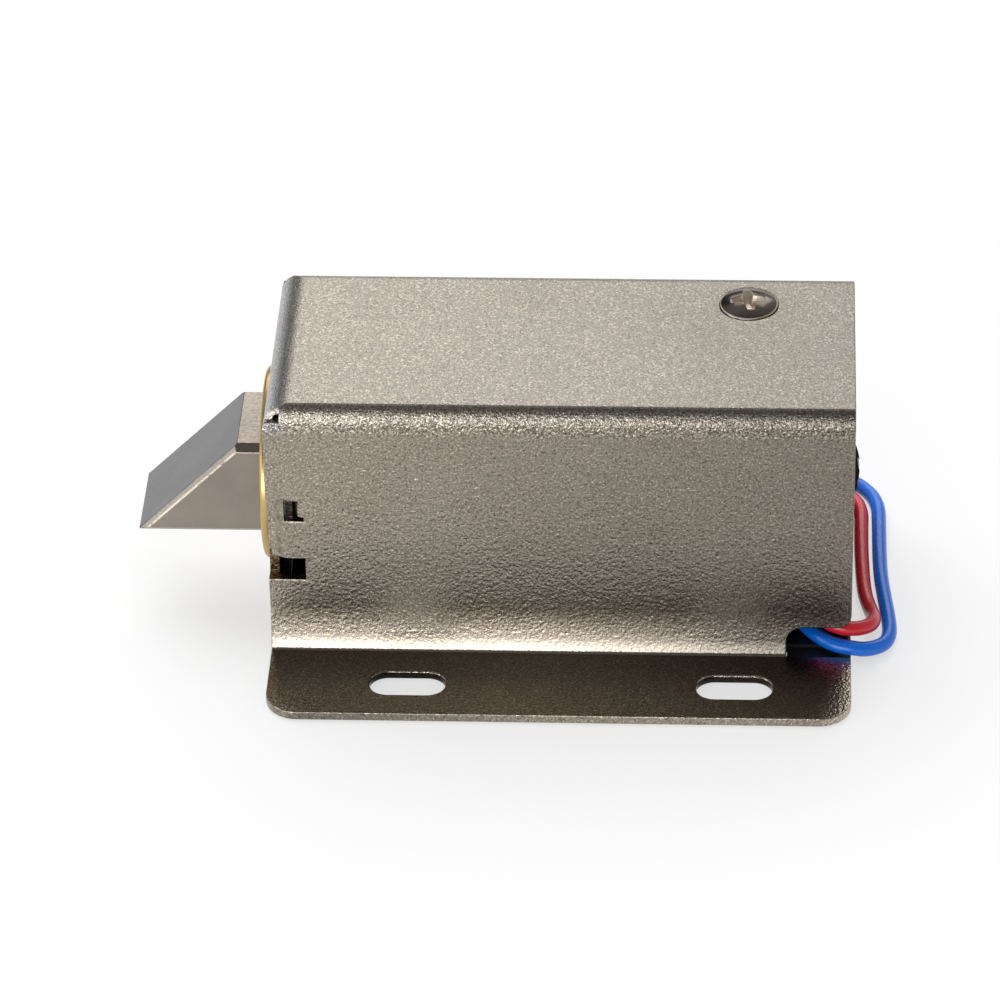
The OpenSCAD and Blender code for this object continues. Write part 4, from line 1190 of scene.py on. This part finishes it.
# The floor, and the room round the lock by radiance, with where it turns dark
FLOOR_SIZE = 6.0
FLOOR_DROP = 0.00005
FLOOR_GLOW = 0.6
ROOM = 0.45
ROOM_DARK = 0.18
HORIZON = (0.62, 0.68, 0.80, 1)
HORIZON_HEIGHTS = (0.02, 0.25)
DARK_TOWARDS = (0, -0.62, 0.78)
DARK_LEVELS = (0.45, 0.8)
BEHIND = (0.10, 0.09, 0.08, 1)
BEHIND_TOWARDS = (-0.195, 0.919, 0.342)
BEHIND_LEVELS = (0.86, 0.95)


def add_floor():
    """A pale floor. Rays from the camera, mirrors and glass see it paler than it is lit."""
    mesh = bpy.data.meshes.new("floor")
    corners = [(x * FLOOR_SIZE, y * FLOOR_SIZE, 0) for x, y in ((-1, -1), (1, -1), (1, 1), (-1, 1))]
    mesh.from_pydata(corners, [], [(0, 1, 2, 3)])
    floor = bpy.data.objects.new("floor", mesh)
    floor.location.z = -FLOOR_DROP
    bpy.context.scene.collection.objects.link(floor)
    s = Shader("floor", Base_Color=grey(0.92), Roughness=1.0, Specular_IOR_Level=0.0)
    path = s.node("ShaderNodeLightPath").outputs
    seen = s.most(path["Is Camera Ray"], path["Is Glossy Ray"], path["Is Transmission Ray"])
    glow = s.node("ShaderNodeEmission", {"Color": grey(1.0), "Strength": 1.0}).outputs[0]
    shaders = {0: s.times(seen, FLOOR_GLOW), 1: s.main.outputs[0], 2: glow}
    mixed = s.node("ShaderNodeMixShader", shaders).outputs[0]
    s.feed(s.tree.nodes["Material Output"].inputs["Surface"], mixed)
    mesh.materials.append(s.material)


def add_lamp(data, towards, track, place=(0, 0, 0), glossy=True):
    lamp = bpy.data.objects.new(data.name, data)
    lamp.location = place
    lamp.rotation_mode = "QUATERNION"
    lamp.rotation_quaternion = towards.to_track_quat(track, "Y")
    lamp.visible_glossy = glossy
    bpy.context.scene.collection.objects.link(lamp)
    return lamp


def add_area(name, place, target, size, radiance, glossy=True):
    data = bpy.data.lights.new(name, "AREA")
    data.shape = "RECTANGLE"
    data.size, data.size_y = size
    data.energy = radiance * math.pi * size[0] * size[1]
    lamp = add_lamp(data, Vector(target) - Vector(place), "-Z", place, glossy)
    lamp.visible_camera = False


def add_sun(turn, rise, angle, strength):
    data = bpy.data.lights.new("sun", "SUN")
    data.energy = strength
    data.angle = math.radians(angle)
    a, e = math.radians(turn), math.radians(rise)
    towards = Vector((math.sin(a) * math.cos(e), math.cos(a) * math.cos(e), math.sin(e)))
    add_lamp(data, towards, "Z", glossy=False)


def add_world():
    """Pale horizon, mid surroundings, a darker part up in front and a dark patch behind."""
    world = bpy.data.worlds.new("world")
    bpy.context.scene.world = world
    world.use_nodes = True
    s = Nodes(world.node_tree)
    direction = s.node("ShaderNodeTexCoord").outputs["Generated"]
    height = s.node("ShaderNodeSeparateXYZ", {0: direction}).outputs[Z]

    def soft(value, levels):
        return s.ramp(value, *levels, interpolation_type="SMOOTHSTEP")

    def facing(way):
        inputs = {0: direction, 1: way}
        return s.node("ShaderNodeVectorMath", inputs, operation="DOT_PRODUCT").outputs["Value"]

    above = s.mix(soft(facing(DARK_TOWARDS), DARK_LEVELS), grey(ROOM), grey(ROOM_DARK))
    colour = s.mix(soft(height, HORIZON_HEIGHTS), HORIZON, above)
    colour = s.mix(soft(facing(BEHIND_TOWARDS), BEHIND_LEVELS), colour, BEHIND)
    s.feed(s.tree.nodes["Background"].inputs["Color"], colour)


LOCK_AT = (0, 0.02, 0.01)
add_floor()
add_sun(turn=-30, rise=55, angle=50, strength=1.9)
add_area("back_softbox", (0.04, 0.75, 0.52), LOCK_AT, (0.6, 0.55), radiance=1.9)
add_area("front_strip", (-0.35, -1.15, 0.125), LOCK_AT, (0.95, 0.275), radiance=6.0)
add_area("front_panel", (-0.40, -1.05, 0.35), LOCK_AT, (0.9, 0.22), radiance=2.6)
add_area("left_softbox", (-0.90, -0.38, 0.30), LOCK_AT, (0.45, 0.35), radiance=2.6)
add_area(
    "overhead_fill", (0.15, -0.15, 0.9), (0, 0, 0.01), (0.7, 0.7), radiance=0.8, glossy=False
)
add_world()
bpy.context.scene.view_settings.view_transform = "Standard"
